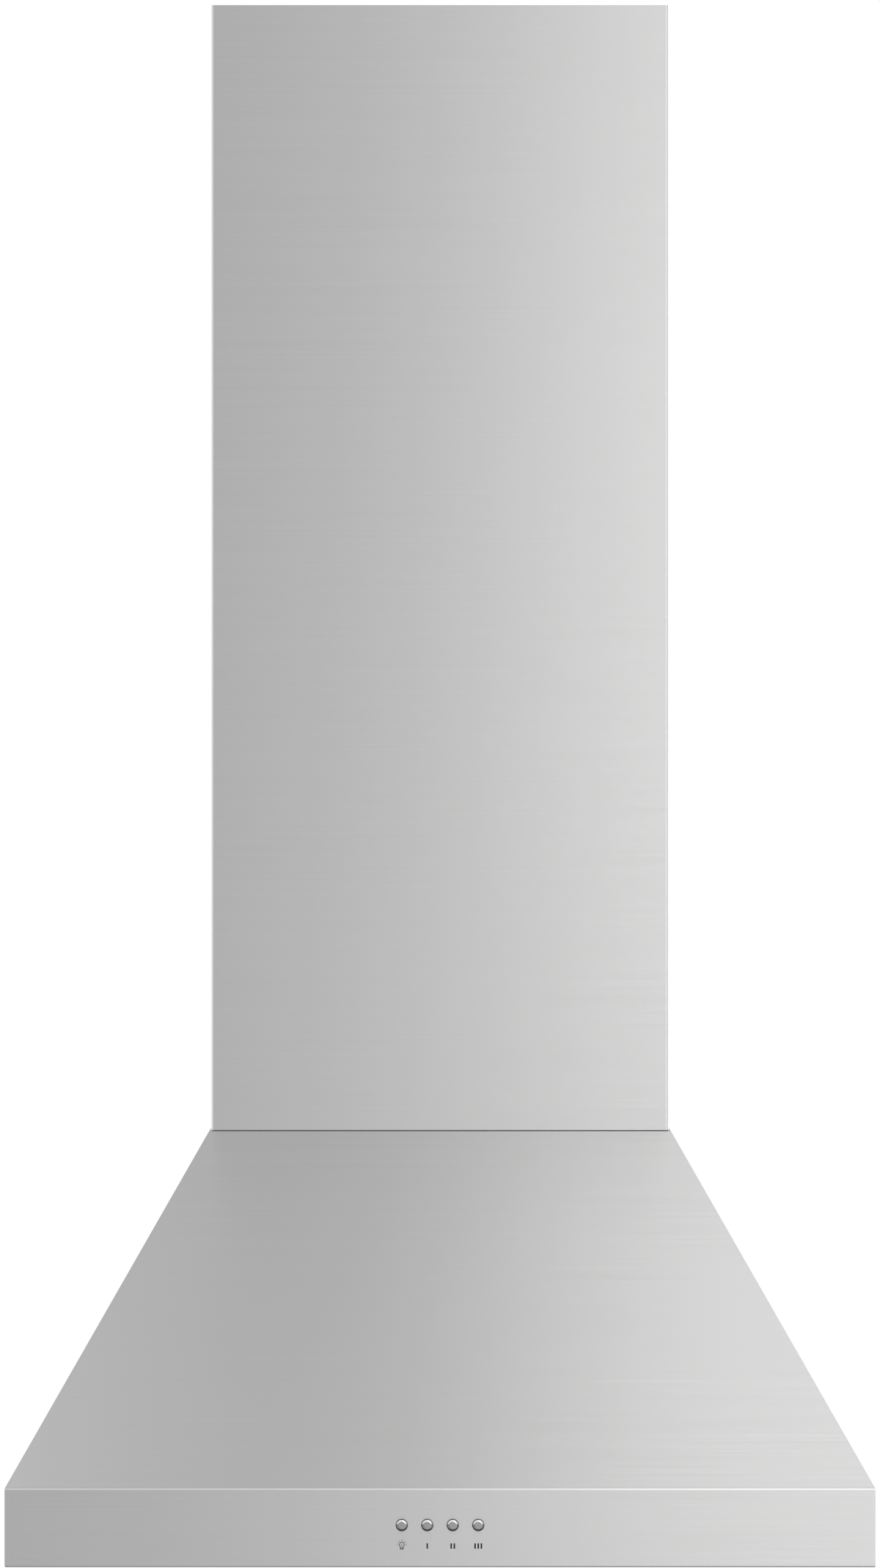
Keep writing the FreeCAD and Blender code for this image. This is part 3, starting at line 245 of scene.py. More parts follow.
def feed(tree, shader, **outputs):
    """Links outputs to the shader's sockets."""
    for key, output in outputs.items():
        tree.links.new(output, shader.inputs[key.replace("_", " ")])


def relief(tree, height, depth):
    """Normal that a height of the given depth in metres makes."""
    return place(tree, "Bump", {"Height": height, "Distance": depth, "Strength": 1.0}).outputs[0]


def grain_direction(tree):
    """Direction in the sheet that is square to its grain: up an upright sheet and across a flat one."""
    nearly_up = (0.0, 0.02, 1.0)
    normal = place(tree, "NewGeometry", {}).outputs["Normal"]
    level = place(tree, "VectorMath", {0: normal, 1: nearly_up}, operation="CROSS_PRODUCT")
    up = place(tree, "VectorMath", {0: level.outputs[0], 1: normal}, operation="CROSS_PRODUCT")
    return place(tree, "VectorMath", {0: up.outputs[0]}, operation="NORMALIZE").outputs[0]


def dress(paint, *nodes):
    """Gives CAD nodes their material."""
    for node in nodes:
        for holder in frame["nodes"][node].material_slots:
            holder.material = paint


def fold_highlight_and_shade():
    """Outer bends of sheet: a painted highlight where they face up and at upright corners, and a painted shade
    where they turn under.

    Corner is how much upright corners brighten, Slope how far up a bend may face and still
    brighten, and Turn how far down it may face before it counts as turned under.
    """
    corner_reach = (0.08, 0.35)
    rise_reach = (0.04, 0.2)
    fall_width = 0.16
    painted_shade_reach = (0.0, -0.25)
    seen_reach = (-0.99, -0.93)
    group, given, made = shader_group("fold_highlight_and_shade", ["Corner", "Slope", "Turn"], ["Bright", "Painted_shade"])
    facing = place(group, "SeparateXYZ", {0: place(group, "TexCoord", {}).outputs["Normal"]})
    across = sums(group, "MULTIPLY", facing.outputs["X"], facing.outputs["Y"])
    corner = ranged(group, sums(group, "ABSOLUTE", across), 0.0, 1.0, *corner_reach)
    up = facing.outputs["Z"]
    corner = sums(group, "MULTIPLY", corner, given.outputs["Corner"])
    rise = ranged(group, up, 0.0, 1.0, *rise_reach)
    fall_start = sums(group, "SUBTRACT", given.outputs["Slope"], fall_width)
    fall = ranged(group, up, 1.0, 0.0, fall_start, given.outputs["Slope"])
    bend = sums(group, "MULTIPLY", rise, fall)
    turn = sums(group, "ADD", up, given.outputs["Turn"])
    painted_shade_mask = ranged(group, turn, 0.0, 1.0, *painted_shade_reach)
    still_seen = ranged(group, up, 0.0, 1.0, *seen_reach)
    # First output is the painted highlight, second the painted shade.
    group.links.new(sums(group, "MAXIMUM", corner, bend), made.inputs["Bright"])
    group.links.new(sums(group, "MULTIPLY", painted_shade_mask, still_seen), made.inputs["Painted_shade"])
    return group


grain = brushed_grain()


def brushed_metal(name, dark, light, roughness, streak_depth, anisotropy, across=1400.0, along=5.0):
    """Brushed sheet or turned face between two colours. Gives back its colour too, to carry a painted highlight
    and painted shade at its folds.
    """
    made, tree, shader = finish(name, Metallic=1.0, Anisotropic=anisotropy)
    lines = use_group(tree, grain, Along=along, Across=across)
    streaks, drift = lines.outputs["Streaks"], lines.outputs["Drift"]
    spread = 0.03
    rough = ranged(tree, streaks, roughness - spread, roughness + spread, 0.3, 0.7)
    colour = mixed_colour(tree, ranged(tree, streaks, 0.0, 1.0, 0.25, 0.75), dark, light)
    feed(
        tree,
        shader,
        Base_Color=colour,
        Roughness=sums(tree, "ADD", rough, ranged(tree, drift, -spread / 2, spread / 2)),
        Normal=relief(tree, streaks, streak_depth),
        Tangent=grain_direction(tree),
    )
    return made, tree, shader, colour


steel, tree, shader, colour = brushed_metal(
    "brushed_steel",
    dark=(0.361, 0.361, 0.360),
    light=(0.379, 0.379, 0.377),
    roughness=0.33,
    streak_depth=0.000009,
    anisotropy=0.8,
)
# Painted highlight on the canopy's bends that face up and on its upright corners, and painted shade on its
# bends that face down.
fold_light_and_shade = fold_highlight_and_shade()
folds = use_group(tree, fold_light_and_shade, Corner=1.0, Slope=0.5, Turn=0.05)
with_painted_highlight = mixed_colour(tree, folds.outputs["Bright"], colour, (0.60, 0.60, 0.60))
feed(tree, shader, Base_Color=mixed_colour(tree, folds.outputs["Painted_shade"], with_painted_highlight, (0.20, 0.20, 0.20)))
dress(steel, "canopy_shell")


# Signs under the buttons: a lamp and one, two and three bars, printed in dark grey ink on the rim.
# Each is a film of ink a few hundredths of a millimetre thick, with rounded corners.
sharp_from = math.radians(35)


def new_piece(name, form, body, paint, smooth=False):
    """Object from a bmesh, riding on a body, with its material and slot. Its corners stay sharp."""
    mesh = bpy.data.meshes.new(name)
    bmesh.ops.recalc_face_normals(form, faces=form.faces)
    for edge in form.edges:
        edge.smooth = edge.calc_face_angle(math.pi) < sharp_from
    form.to_mesh(mesh)
    form.free()
    mesh.materials.append(paint)
    for face in mesh.polygons:
        face.use_smooth = smooth
    piece = bpy.data.objects.new(name, mesh)
    scene.collection.objects.link(piece)
    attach(piece, body)
    return piece


def add_film(form, *loops):
    """Film of ink in front of the rim, from an outline of places across and up and its holes."""
    edges = []
    for loop in loops:
        points = [form.verts.new((x, ink_front, z)) for x, z in loop]
        edges += [form.edges.new((points[i - 1], points[i])) for i in range(len(points))]
    made = bmesh.ops.triangle_fill(form, edges=edges, use_beauty=True)
    faces = [item for item in made["geom"] if isinstance(item, bmesh.types.BMFace)]
    grown = bmesh.ops.extrude_face_region(form, geom=faces)
    moved = [item for item in grown["geom"] if isinstance(item, bmesh.types.BMVert)]
    bmesh.ops.translate(form, verts=moved, vec=(0, -ink_film, 0))


def arc_points(centre, radius, first, last, count):
    """Points on an arc, its angles in degrees from the level."""
    angles = [math.radians(first + (last - first) * i / (count - 1)) for i in range(count)]
    return [(centre[0] + radius * math.cos(a), centre[1] + radius * math.sin(a)) for a in angles]


def rounded_bar(middle, width, height, lean=0.0):
    """Outline of an upright bar with rounded corners, leant over by an angle."""
    radius = corner_share * min(width, height)
    points = []
    for i, (side, level) in enumerate([(1, 1), (-1, 1), (-1, -1), (1, -1)]):
        corner = (side * (width / 2 - radius), level * (height / 2 - radius))
        points += arc_points(corner, radius, 90 * i, 90 * i + 90, corner_points)
    turn = Matrix.Rotation(lean, 2)
    return [tuple(Vector(middle) + turn @ Vector(point)) for point in points]


ink, tree, shader = finish("printed_ink", Metallic=0.0, IOR=1.45, Specular_IOR_Level=0.15)
cloud = place(tree, "TexNoise", {"Scale": 2600.0, "Detail": 2.0})
feed(
    tree,
    shader,
    Base_Color=mixed_colour(tree, cloud.outputs[0], (0.010, 0.010, 0.011), (0.020, 0.020, 0.021)),
    Roughness=ranged(tree, cloud.outputs[0], 0.45, 0.6),
    Normal=relief(tree, cloud.outputs[0], 0.00001),
)
ink_film = 0.00004
ink_gap = 0.00001
corner_share = 0.12
corner_points = 4
bar_width = 0.00106
bar_height = 0.0037
bar_pitch = 0.00214
sign_level = 0.0146
lamp_radius = 0.00162
lamp_line = 0.00048
lamp_rise = 0.0155
neck_half = 0.00095
neck_drop = 0.0030
shoulder_share = 0.6
socket_share = 0.72
globe_from, globe_to = -38, 218
globe_points = 25
ray_count = 7
ray_step = math.radians(30)
ray_reach = 0.0029
ray_size = (0.00042, 0.00058)
ink_front = rim_front - ink_gap
rim_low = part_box("canopy_shell")[0].z


def button_middle(name):
    """Middle of a button across the hood."""
    low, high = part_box("button_" + name)
    return (low.x + high.x) / 2


for count, name in enumerate(("low", "medium", "high"), 1):
    form = bmesh.new()
    for i in range(count):
        across = button_middle(name) + (i - (count - 1) / 2) * bar_pitch
        add_film(form, rounded_bar((across, rim_low + sign_level), bar_width, bar_height))
    new_piece("sign_" + name, form, "root", ink)


def lamp_outline(middle, grow):
    """Outline of the lamp sign, a round bulb drawn in to its neck, grown by half its line."""
    radius, half = lamp_radius + grow, neck_half + grow
    left, right = middle[0] - half, middle[0] + half
    shoulder = middle[1] - shoulder_share * neck_drop
    foot = middle[1] - neck_drop - grow
    globe = arc_points(middle, radius, globe_from, globe_to, globe_points)
    return globe + [(left, shoulder), (left, foot), (right, foot), (right, shoulder)]


form = bmesh.new()
middle = (button_middle("light"), rim_low + lamp_rise)
add_film(form, lamp_outline(middle, lamp_line / 2), lamp_outline(middle, -lamp_line / 2))
socket = (middle[0], middle[1] - socket_share * neck_drop)
add_film(form, rounded_bar(socket, 2 * neck_half - lamp_line, lamp_line))
wire = (middle[0], middle[1] - lamp_line)
add_film(form, rounded_bar(wire, lamp_line, 2 * lamp_line))
for i in range(ray_count):
    lean = ray_step * (i - (ray_count - 1) / 2)
    spot = (middle[0] - ray_reach * math.sin(lean), middle[1] + ray_reach * math.cos(lean))
    add_film(form, rounded_bar(spot, *ray_size, lean))
new_piece("sign_light", form, "root", ink)


# Back panel, top plate, wall hooks, levelling blocks and brackets: zinc coated steel sheet, cut and folded.
# The coat has flat crystals a few millimetres wide that catch the light differently.
def zinc_crystals():
    """Crystals of a hot zinc coat, and the cloudy change over a sheet, from nought to one."""
    bends_a_crystal = 1.7
    bend_reach = (0.003, 0.003, 0.003)
    group, given, made = shader_group("zinc_crystals", ["Size"], ["Crystal", "Cloud"])
    spot = place(group, "TexCoord", {}).outputs["Object"]
    count = sums(group, "DIVIDE", 1.0, given.outputs["Size"])
    bend_scale = sums(group, "MULTIPLY", count, bends_a_crystal)
    bend = place(group, "TexNoise", {"Vector": spot, "Scale": bend_scale, "Detail": 2.0})
    shift = place(group, "VectorMath", {0: bend.outputs["Color"], 1: bend_reach}, operation="MULTIPLY")
    moved = place(group, "VectorMath", {0: spot, 1: shift.outputs[0]}, operation="ADD")
    cells = place(group, "TexVoronoi", {"Vector": moved.outputs[0], "Scale": count})
    shade = place(group, "SeparateXYZ", {0: cells.outputs["Color"]})
    cloud = place(group, "TexNoise", {"Vector": spot, "Scale": 9.0, "Detail": 4.0, "Roughness": 0.6})
    group.links.new(shade.outputs[0], made.inputs["Crystal"])
    group.links.new(cloud.outputs[0], made.inputs["Cloud"])
    return group


crystals = zinc_crystals()


def zinc_sheet(name, dark, light, roughness, size=0.006):
    """Zinc coated sheet between two greys."""
    crystal_share = 0.7
    made, tree, shader = finish(name, Metallic=0.85)
    coat = use_group(tree, crystals, Size=size)
    facets = sums(tree, "MULTIPLY", coat.outputs["Crystal"], crystal_share)
    shade = sums(tree, "ADD", facets, coat.outputs["Cloud"])
    feed(
        tree,
        shader,
        Base_Color=mixed_colour(tree, ranged(tree, shade, 0.0, 1.0, 0.2, 1.3), dark, light),
        Roughness=ranged(tree, coat.outputs["Crystal"], roughness - 0.06, roughness + 0.08),
        Normal=relief(tree, coat.outputs["Crystal"], 0.00002),
    )
    return made


zinc = zinc_sheet("zinc_sheet", (0.40, 0.41, 0.42), (0.56, 0.57, 0.58), 0.42)
dress(zinc, "back_panel", "top_plate", "switch_bracket", "motor_bracket")
dress(zinc, "lamp_housing_left", "lamp_housing_right")
hook_zinc = zinc_sheet("hook_zinc", (0.44, 0.45, 0.46), (0.60, 0.61, 0.62), 0.36, size=0.003)
dress(hook_zinc, "wall_hook_left", "wall_hook_right", "levelling_block_left", "levelling_block_right")
dress(hook_zinc, "chimney_bracket")


# Bottom panel: the canopy's own brushed steel, pressed with a raised middle and a turned flange
# round each filter. It is screwed up against the rim's return.
dress(steel, "bottom_panel")


# Grease filters: a channel frame of bare aluminium round a pack of stretched aluminium mesh.
# The mesh is slit and pulled sheet, so its diamonds are longer than they are wide and their strands lie tilted.
aluminium = brushed_metal(
    "bare_aluminium",
    dark=(0.52, 0.52, 0.53),
    light=(0.62, 0.62, 0.63),
    roughness=0.4,
    streak_depth=0.00002,
    anisotropy=0.3,
    across=900.0,
    along=8.0,
)[0]
dress(aluminium, "filter_frame_left", "filter_frame_right")
strand_metal, tree, shader = finish("strand_aluminium", Metallic=1.0)
cloud = place(tree, "TexNoise", {"Scale": 140.0, "Detail": 3.0})
scuff = place(tree, "TexNoise", {"Scale": 2200.0, "Detail": 1.0})
feed(
    tree,
    shader,
    Base_Color=mixed_colour(tree, cloud.outputs[0], (0.46, 0.46, 0.47), (0.66, 0.66, 0.67)),
    Roughness=ranged(tree, cloud.outputs[0], 0.3, 0.48, 0.3, 0.7),
    Normal=relief(tree, scuff.outputs[0], 0.00002),
)
diamond_length = 0.0120
diamond_width = 0.0068
strand = 0.0009
strand_lift = 0.0007
layer_count = 3
same_place = 1e-6


def within(spot, clear):
    """Whether a place lies inside the clear box, seen from below."""
    return clear[0].x < spot.x < clear[1].x and clear[0].y < spot.y < clear[1].y


def touches(face, clear):
    """Whether a face reaches into the clear box, seen from below."""
    across, out = [v.co.x for v in face.verts], [v.co.y for v in face.verts]
    beside = min(across) < clear[1].x and max(across) > clear[0].x
    return beside and min(out) < clear[1].y and max(out) > clear[0].y


def add_mesh_layer(form, low, high, level, shift, clear):
    """One layer of diamonds inside two corners, cut out round the clear box."""
    columns = math.ceil((high.x - low.x) / diamond_length)
    rows = math.ceil((high.y - low.y) / diamond_width)
    start = ((low.x + high.x - columns * diamond_length) / 2, (low.y + high.y - rows * diamond_width) / 2)
    points = {}

    def knot(i, j):
        if (i, j) not in points:
            x = min(max(start[0] + i * diamond_length / 2, low.x), high.x)
            y = min(max(start[1] + j * diamond_width / 2, low.y), high.y)
            points[i, j] = form.verts.new((x, y, level + (strand_lift if i % 2 else 0.0)))
        return points[i, j]

    for i in range(1, 2 * columns):
        for j in range(1, 2 * rows):
            if (i + j + shift) % 2 == 0:
                form.faces.new((knot(i - 1, j), knot(i, j - 1), knot(i + 1, j), knot(i, j + 1)))
    cuts = [(clear[0], (1, 0, 0)), (clear[1], (1, 0, 0)), (clear[0], (0, 1, 0)), (clear[1], (0, 1, 0))]
    for spot, across in cuts:
        near = [face for face in form.faces if touches(face, clear)]
        parts = set(near) | {edge for face in near for edge in face.edges}
        parts |= {vert for face in near for vert in face.verts}
        bmesh.ops.bisect_plane(form, geom=list(parts), plane_co=spot, plane_no=across, dist=same_place)
    inside = [face for face in form.faces if within(face.calc_center_median(), clear)]
    bmesh.ops.delete(form, geom=inside, context="FACES")


def turned_to_strands(form, name, thickness):
    """Mesh whose edges have become strands."""
    sheet = bpy.data.meshes.new(name)
    form.to_mesh(sheet)
    form.free()
    holder = bpy.data.objects.new(name, sheet)
    scene.collection.objects.link(holder)
    wires = holder.modifiers.new("strands", "WIREFRAME")
    wires.thickness = thickness
    wires.use_even_offset = False
    wires.use_boundary = True
    shaped = bpy.data.meshes.new_from_object(holder.evaluated_get(bpy.context.evaluated_depsgraph_get()))
    made = bmesh.new()
    made.from_mesh(shaped)
    for old in (shaped, sheet):
        bpy.data.meshes.remove(old)
    return made


for side in ("left", "right"):
    low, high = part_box("filter_mesh_" + side)
    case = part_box("latch_case_" + side)
    margin = Vector((strand, strand, 0))
    clear = (case[0] - margin, case[1] + margin)
    edge = Vector((strand, strand, strand))
    form = bmesh.new()
    layers_reach = high.z - low.z - 3 * strand
    for i in range(layer_count):
        level = low.z + strand + layers_reach * i / (layer_count - 1)
        add_mesh_layer(form, low + edge, high - edge, level, i, clear)
    strands = turned_to_strands(form, "mesh_pack_" + side + "_sheet", strand)
    pack = new_piece("mesh_pack_" + side, strands, "filter_" + side, strand_metal)
    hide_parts("filter_mesh_" + side)


# Filter latches: a dark moulded case with a finger recess, and a sprung slider with ribs to pull.
# Fine grained nylon, as are the duct collar, its flaps, the switch body and the cable gland.
def moulded_skin():
    """Fine pits and slow clouding of a moulded face, from nought to one."""
    group, given, made = shader_group("moulded_skin", ["Grain"], ["Pits", "Cloud"])
    spot = place(group, "TexCoord", {}).outputs["Object"]
    pits = place(group, "TexNoise", {"Vector": spot, "Scale": given.outputs["Grain"], "Detail": 2.0})
    cloud = place(group, "TexNoise", {"Vector": spot, "Scale": 25.0, "Detail": 3.0})
    group.links.new(pits.outputs[0], made.inputs["Pits"])
    group.links.new(cloud.outputs[0], made.inputs["Cloud"])
    return group


skin = moulded_skin()


def moulding(name, dark, light, roughness, grain_scale=1800.0):
    """Moulded plastic between two colours."""
    pit_depth = 0.00003
    made, tree, shader = finish(name, Metallic=0.0, IOR=1.5)
    face = use_group(tree, skin, Grain=grain_scale)
    feed(
        tree,
        shader,
        Base_Color=mixed_colour(tree, face.outputs["Cloud"], dark, light),
        Roughness=ranged(tree, face.outputs["Pits"], roughness - 0.05, roughness + 0.07),
        Normal=relief(tree, face.outputs["Pits"], pit_depth),
    )
    return made


dark_nylon = moulding("dark_nylon", (0.030, 0.030, 0.032), (0.052, 0.052, 0.055), 0.48)
dress(dark_nylon, "latch_case_left", "latch_case_right", "latch_slider_left", "latch_slider_right")


# Lamps: a satin chromed ring with a frosted glass disc lying in it, and a round board with small lights above.
# The ring is sprung up into the bottom panel.
def turning_rings():
    """Rings that a lathe leaves about a middle, from nought to one."""
    group, given, made = shader_group("turning_rings", ["Across", "Out", "Up", "Rings"], ["Ring"])
    spot = place(group, "TexCoord", {}).outputs["Object"]
    middle = place(group, "CombineXYZ", {i: given.outputs[i] for i in range(3)}).outputs[0]
    reach = place(group, "VectorMath", {0: spot, 1: middle}, operation="DISTANCE").outputs["Value"]
    along = place(group, "CombineXYZ", {0: sums(group, "MULTIPLY", reach, given.outputs["Rings"])})
    noise = place(group, "TexNoise", {"Vector": along.outputs[0], "Scale": 1.0, "Detail": 2.0})
    group.links.new(noise.outputs[0], made.inputs["Ring"])
    return group


rings = turning_rings()
rings_a_metre = 7000.0


def turned_metal(name, middle, dark, light, roughness):
    """Metal turned about a middle, between two colours. Gives back its colour too."""
    made, tree, shader = finish(name, Metallic=1.0)
    turned = use_group(tree, rings, Across=middle[0], Out=middle[1], Up=middle[2], Rings=rings_a_metre)
    lines = turned.outputs["Ring"]
    colour = mixed_colour(tree, lines, dark, light)
    rough = ranged(tree, lines, roughness - 0.06, roughness + 0.06)
    feed(tree, shader, Base_Color=colour, Roughness=rough, Normal=relief(tree, lines, 0.00001))
    return made, tree, shader, colour


def middle_of(node):
    """Middle of a CAD node's box."""
    low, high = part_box(node)
    return (low + high) / 2


glass, tree, shader = finish("frosted_glass", Metallic=0.0, IOR=1.46, Transmission_Weight=0.25)
frost = place(tree, "TexNoise", {"Scale": 1500.0, "Detail": 2.0})
feed(
    tree,
    shader,
    Base_Color=mixed_colour(tree, frost.outputs[0], (0.84, 0.85, 0.84), (0.92, 0.92, 0.91)),
    Roughness=ranged(tree, frost.outputs[0], 0.5, 0.62),
    Normal=relief(tree, frost.outputs[0], 0.00004),
)
dress(glass, "lamp_lens_left", "lamp_lens_right")
board = moulding("lamp_board_white", (0.74, 0.74, 0.71), (0.82, 0.82, 0.79), 0.4)
dress(board, "lamp_board_left", "lamp_board_right")
phosphor = moulding("yellow_phosphor", (0.72, 0.60, 0.16), (0.80, 0.68, 0.22), 0.3)
chip_count = 10
chip_ring = 0.0150
chip_size = (0.0028, 0.0035, 0.0007)
chip_crown = 0.0003


def add_chip(form, foot, turn):
    """Small light on the board's underside, a block with a drawn-in lower face."""
    half_across, half_out, drop = chip_size[0] / 2, chip_size[1] / 2, chip_size[2]
    levels = [(0.0, 0.0), (0.0, -drop + chip_crown), (chip_crown, -drop)]
    loops = []
    for inset, up in levels:
        across, out = half_across - inset, half_out - inset
        corners = [(-across, -out), (across, -out), (across, out), (-across, out)]
        spots = [Vector(foot) + Matrix.Rotation(turn, 3, "Z") @ Vector((x, y, up)) for x, y in corners]
        loops.append([form.verts.new(spot) for spot in spots])
    for upper, lower in zip(loops, loops[1:]):
        for i in range(len(upper)):
            form.faces.new((upper[i - 1], upper[i], lower[i], lower[i - 1]))
    form.faces.new(loops[0])
    form.faces.new(loops[-1])


for side in ("left", "right"):
    bezel = "lamp_bezel_" + side
    chrome = turned_metal(
        "satin_chrome_" + side, middle_of(bezel), (0.56, 0.56, 0.56), (0.70, 0.70, 0.70), 0.2
    )
    dress(chrome[0], bezel)
    middle = middle_of("lamp_board_" + side)
    low_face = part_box("lamp_board_" + side)[0].z
    form = bmesh.new()
    for i in range(chip_count):
        turn = 2 * math.pi * i / chip_count
        foot = (middle.x + chip_ring * math.cos(turn), middle.y + chip_ring * math.sin(turn), low_face)
        add_chip(form, foot, turn)
    new_piece("lamp_chips_" + side, form, "root", phosphor)


# Push buttons: steel caps turned on a lathe, their edges rounded over, each in its own hole in the rim.
# The turning leaves rings about the middle of each cap, and a dark sleeve in the gap round it is a dark piece
# put where the gap holds shade.
def add_ring(form, middle, profile, segments):
    """Closed ring turned about a level line to the wall, from pairs of radius and depth."""
    loops = []
    for i in range(segments):
        turn = 2 * math.pi * i / segments
        across, up = math.cos(turn), math.sin(turn)
        spots = [Vector(middle) + Vector((radius * across, depth, radius * up)) for radius, depth in profile]
        loops.append([form.verts.new(spot) for spot in spots])
    for last, here in zip([loops[-1]] + loops, loops):
        for j in range(len(profile)):
            form.faces.new((last[j - 1], last[j], here[j], here[j - 1]))


switch_nylon = moulding("switch_nylon", (0.020, 0.020, 0.021), (0.035, 0.035, 0.037), 0.4)
dress(switch_nylon, "switch_housing")
# Dark sleeve in each button's gap, standing in for the shade in that gap.
sleeve_inner = 0.00397
sleeve_outer = 0.00423
sleeve_lip = 0.00012
sleeve_depth = 0.0010
sleeve_segments = 48
sleeve_profile = [
    (sleeve_inner, -sleeve_lip / 2),
    ((sleeve_inner + sleeve_outer) / 2, -sleeve_lip),
    (sleeve_outer, -sleeve_lip / 2),
    (sleeve_outer, sleeve_depth),
    (sleeve_inner, sleeve_depth),
]
for name in ("light", "low", "medium", "high"):
    face = middle_of("button_" + name)
    face.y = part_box("button_" + name)[0].y
    cap, tree, shader, colour = turned_metal(
        "button_cap_" + name, face, (0.16, 0.16, 0.16), (0.23, 0.23, 0.23), 0.3
    )
    # Painted highlight on the upper rounding of each cap's edge, and painted shade on its lower rounding.
    edge = use_group(tree, fold_light_and_shade, Corner=0.0, Slope=0.8, Turn=0.3)
    with_painted_highlight = mixed_colour(tree, edge.outputs["Bright"], colour, (0.70, 0.70, 0.70))
    feed(tree, shader, Base_Color=mixed_colour(tree, edge.outputs["Painted_shade"], with_painted_highlight, (0.03, 0.03, 0.03)))
    dress(cap, "button_" + name)
    form = bmesh.new()
    add_ring(form, (face.x, rim_front, face.z), sleeve_profile, sleeve_segments)
    new_piece("button_sleeve_" + name, form, "root", switch_nylon, smooth=True)


# Blower: two pressed halves of galvanised sheet round a moulded wheel, driven by a closed motor.
# Three pressed arms hold the motor in the right inlet, and its run capacitor hangs from the top plate.
casing = zinc_sheet("scroll_zinc", (0.36, 0.37, 0.38), (0.55, 0.56, 0.57), 0.4, size=0.008)
dress(casing, "scroll_left", "scroll_right")
wheel_dark, wheel_light = (0.055, 0.056, 0.06), (0.085, 0.086, 0.09)
wheel_plastic = moulding("wheel_plastic", wheel_dark, wheel_light, 0.42, grain_scale=900.0)
dress(wheel_plastic, "impeller")
ground = brushed_metal(
    "ground_steel",
    dark=(0.42, 0.42, 0.42),
    light=(0.56, 0.56, 0.56),
    roughness=0.25,
    streak_depth=0.00001,
    anisotropy=0.0,
    across=2000.0,
    along=60.0,
)[0]
dress(ground, "motor_shaft", "damper_rod")
motor_coat = zinc_sheet("motor_zinc", (0.30, 0.31, 0.32), (0.42, 0.43, 0.44), 0.38, size=0.002)
dress(motor_coat, "motor")
can_white = moulding("capacitor_white", (0.66, 0.66, 0.64), (0.74, 0.74, 0.72), 0.35)
dress(can_white, "capacitor")


# Duct collar and its two back draught flaps: dark moulded plastic, the collar screwed to the top plate.
collar_dark, collar_light = (0.028, 0.029, 0.031), (0.045, 0.046, 0.048)
collar_nylon = moulding("collar_nylon", collar_dark, collar_light, 0.5, grain_scale=1200.0)
dress(collar_nylon, "duct_collar", "damper_flap_front", "damper_flap_rear")


# Terminal box: off-white moulded box and cover on the top plate, with a screw strip inside.
# The mains lead comes in by a dark gland in its top.
box_white = moulding("terminal_white", (0.60, 0.60, 0.58), (0.68, 0.68, 0.66), 0.45, grain_scale=1500.0)
dress(box_white, "terminal_box", "terminal_cover")
strip_white = moulding("strip_white", (0.70, 0.70, 0.67), (0.78, 0.78, 0.75), 0.35)
dress(strip_white, "terminal_block")
dress(dark_nylon, "cable_gland")


# Chimney covers: the same brushed sheet as the canopy, folded in two bends with a return along the wall.
# The upper cover slides up inside the lower one and hangs on its bracket.
# A grey foam tape fills the seam between the lower cover and the canopy, a darker piece put where the seam
# holds shade.
dress(steel, "lower_chimney", "upper_chimney")
# The foam's grey stands in for the shade inside the seam.
foam, tree, shader = finish("grey_foam", Metallic=0.0, Specular_IOR_Level=0.2)
cells = place(tree, "TexVoronoi", {"Scale": 1500.0})
feed(
    tree,
    shader,
    Base_Color=mixed_colour(tree, cells.outputs["Distance"], (0.26, 0.26, 0.26), (0.34, 0.34, 0.34)),
    Roughness=ranged(tree, cells.outputs["Distance"], 0.85, 0.95),
    Normal=relief(tree, cells.outputs["Distance"], 0.0002),
)
tape_inset = 0.0014
tape_width = 0.0024
tape_squeeze = 0.00002
low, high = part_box("lower_chimney")
back = high.y - tape_width
cover_foot = [v.co.z for v in frame["nodes"]["lower_chimney"].data.vertices if v.co.y < low.y + tape_inset]
tape_top = min(cover_foot) - tape_squeeze
tape_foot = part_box("canopy_shell")[1].z + tape_squeeze
form = bmesh.new()
lines = []
for depth, up in ((0.0, tape_foot), (0.0, tape_top), (tape_width, tape_top), (tape_width, tape_foot)):
    x, y = high.x - tape_inset - depth, low.y + tape_inset + depth
    path = ((x, back), (x, y), (-x, y), (-x, back))
    lines.append([form.verts.new((*spot, up)) for spot in path])
for here, after in zip(lines, lines[1:] + lines[:1]):
    for i in range(len(here) - 1):
        form.faces.new((here[i], here[i + 1], after[i + 1], after[i]))
for end in (0, -1):
    form.faces.new([line[end] for line in lines])
new_piece("seam_tape", form, "root", foam)


# Screws and bolts: bright zinc plated steel, with rolled threads and pressed cross recesses.
# Pan heads hold the sheets together, countersunk ones lie flush, and six-sided bolts level the hood.
bright_zinc = brushed_metal(
    "bright_zinc",
    dark=(0.50, 0.50, 0.49),
    light=(0.66, 0.66, 0.65),
    roughness=0.28,
    streak_depth=0.00001,
    anisotropy=0.0,
    across=1500.0,
    along=300.0,
)[0]
points_a_turn = 24
head_radius = 0.0038
pan_height = 0.0022
recess_reach = 0.50
recess_half = 0.13
recess_depth = 0.0013
recess_draft = 0.6
screw_thread = {"radius": 0.0019, "root": 0.0015, "pitch": 0.0012, "point": 0.0018, "tip": 0.25}
bolt_thread = {"radius": 0.0030, "root": 0.0026, "pitch": 0.0010, "point": 0.0005, "tip": 0.8}
flank_slope = 2.2
shank_share = 0.98
rows_a_turn = 5
bolt_head = 0.0050
bolt_flat = bolt_head * math.cos(math.pi / 6)
bolt_edge = 0.9
bolt_crown = 0.94
rim_share = 0.95
pan_crown = [(0.64, 1.0), (0.82, 0.93), (0.94, 0.76), (1.0, 0.5), (1.0, 0.0)]


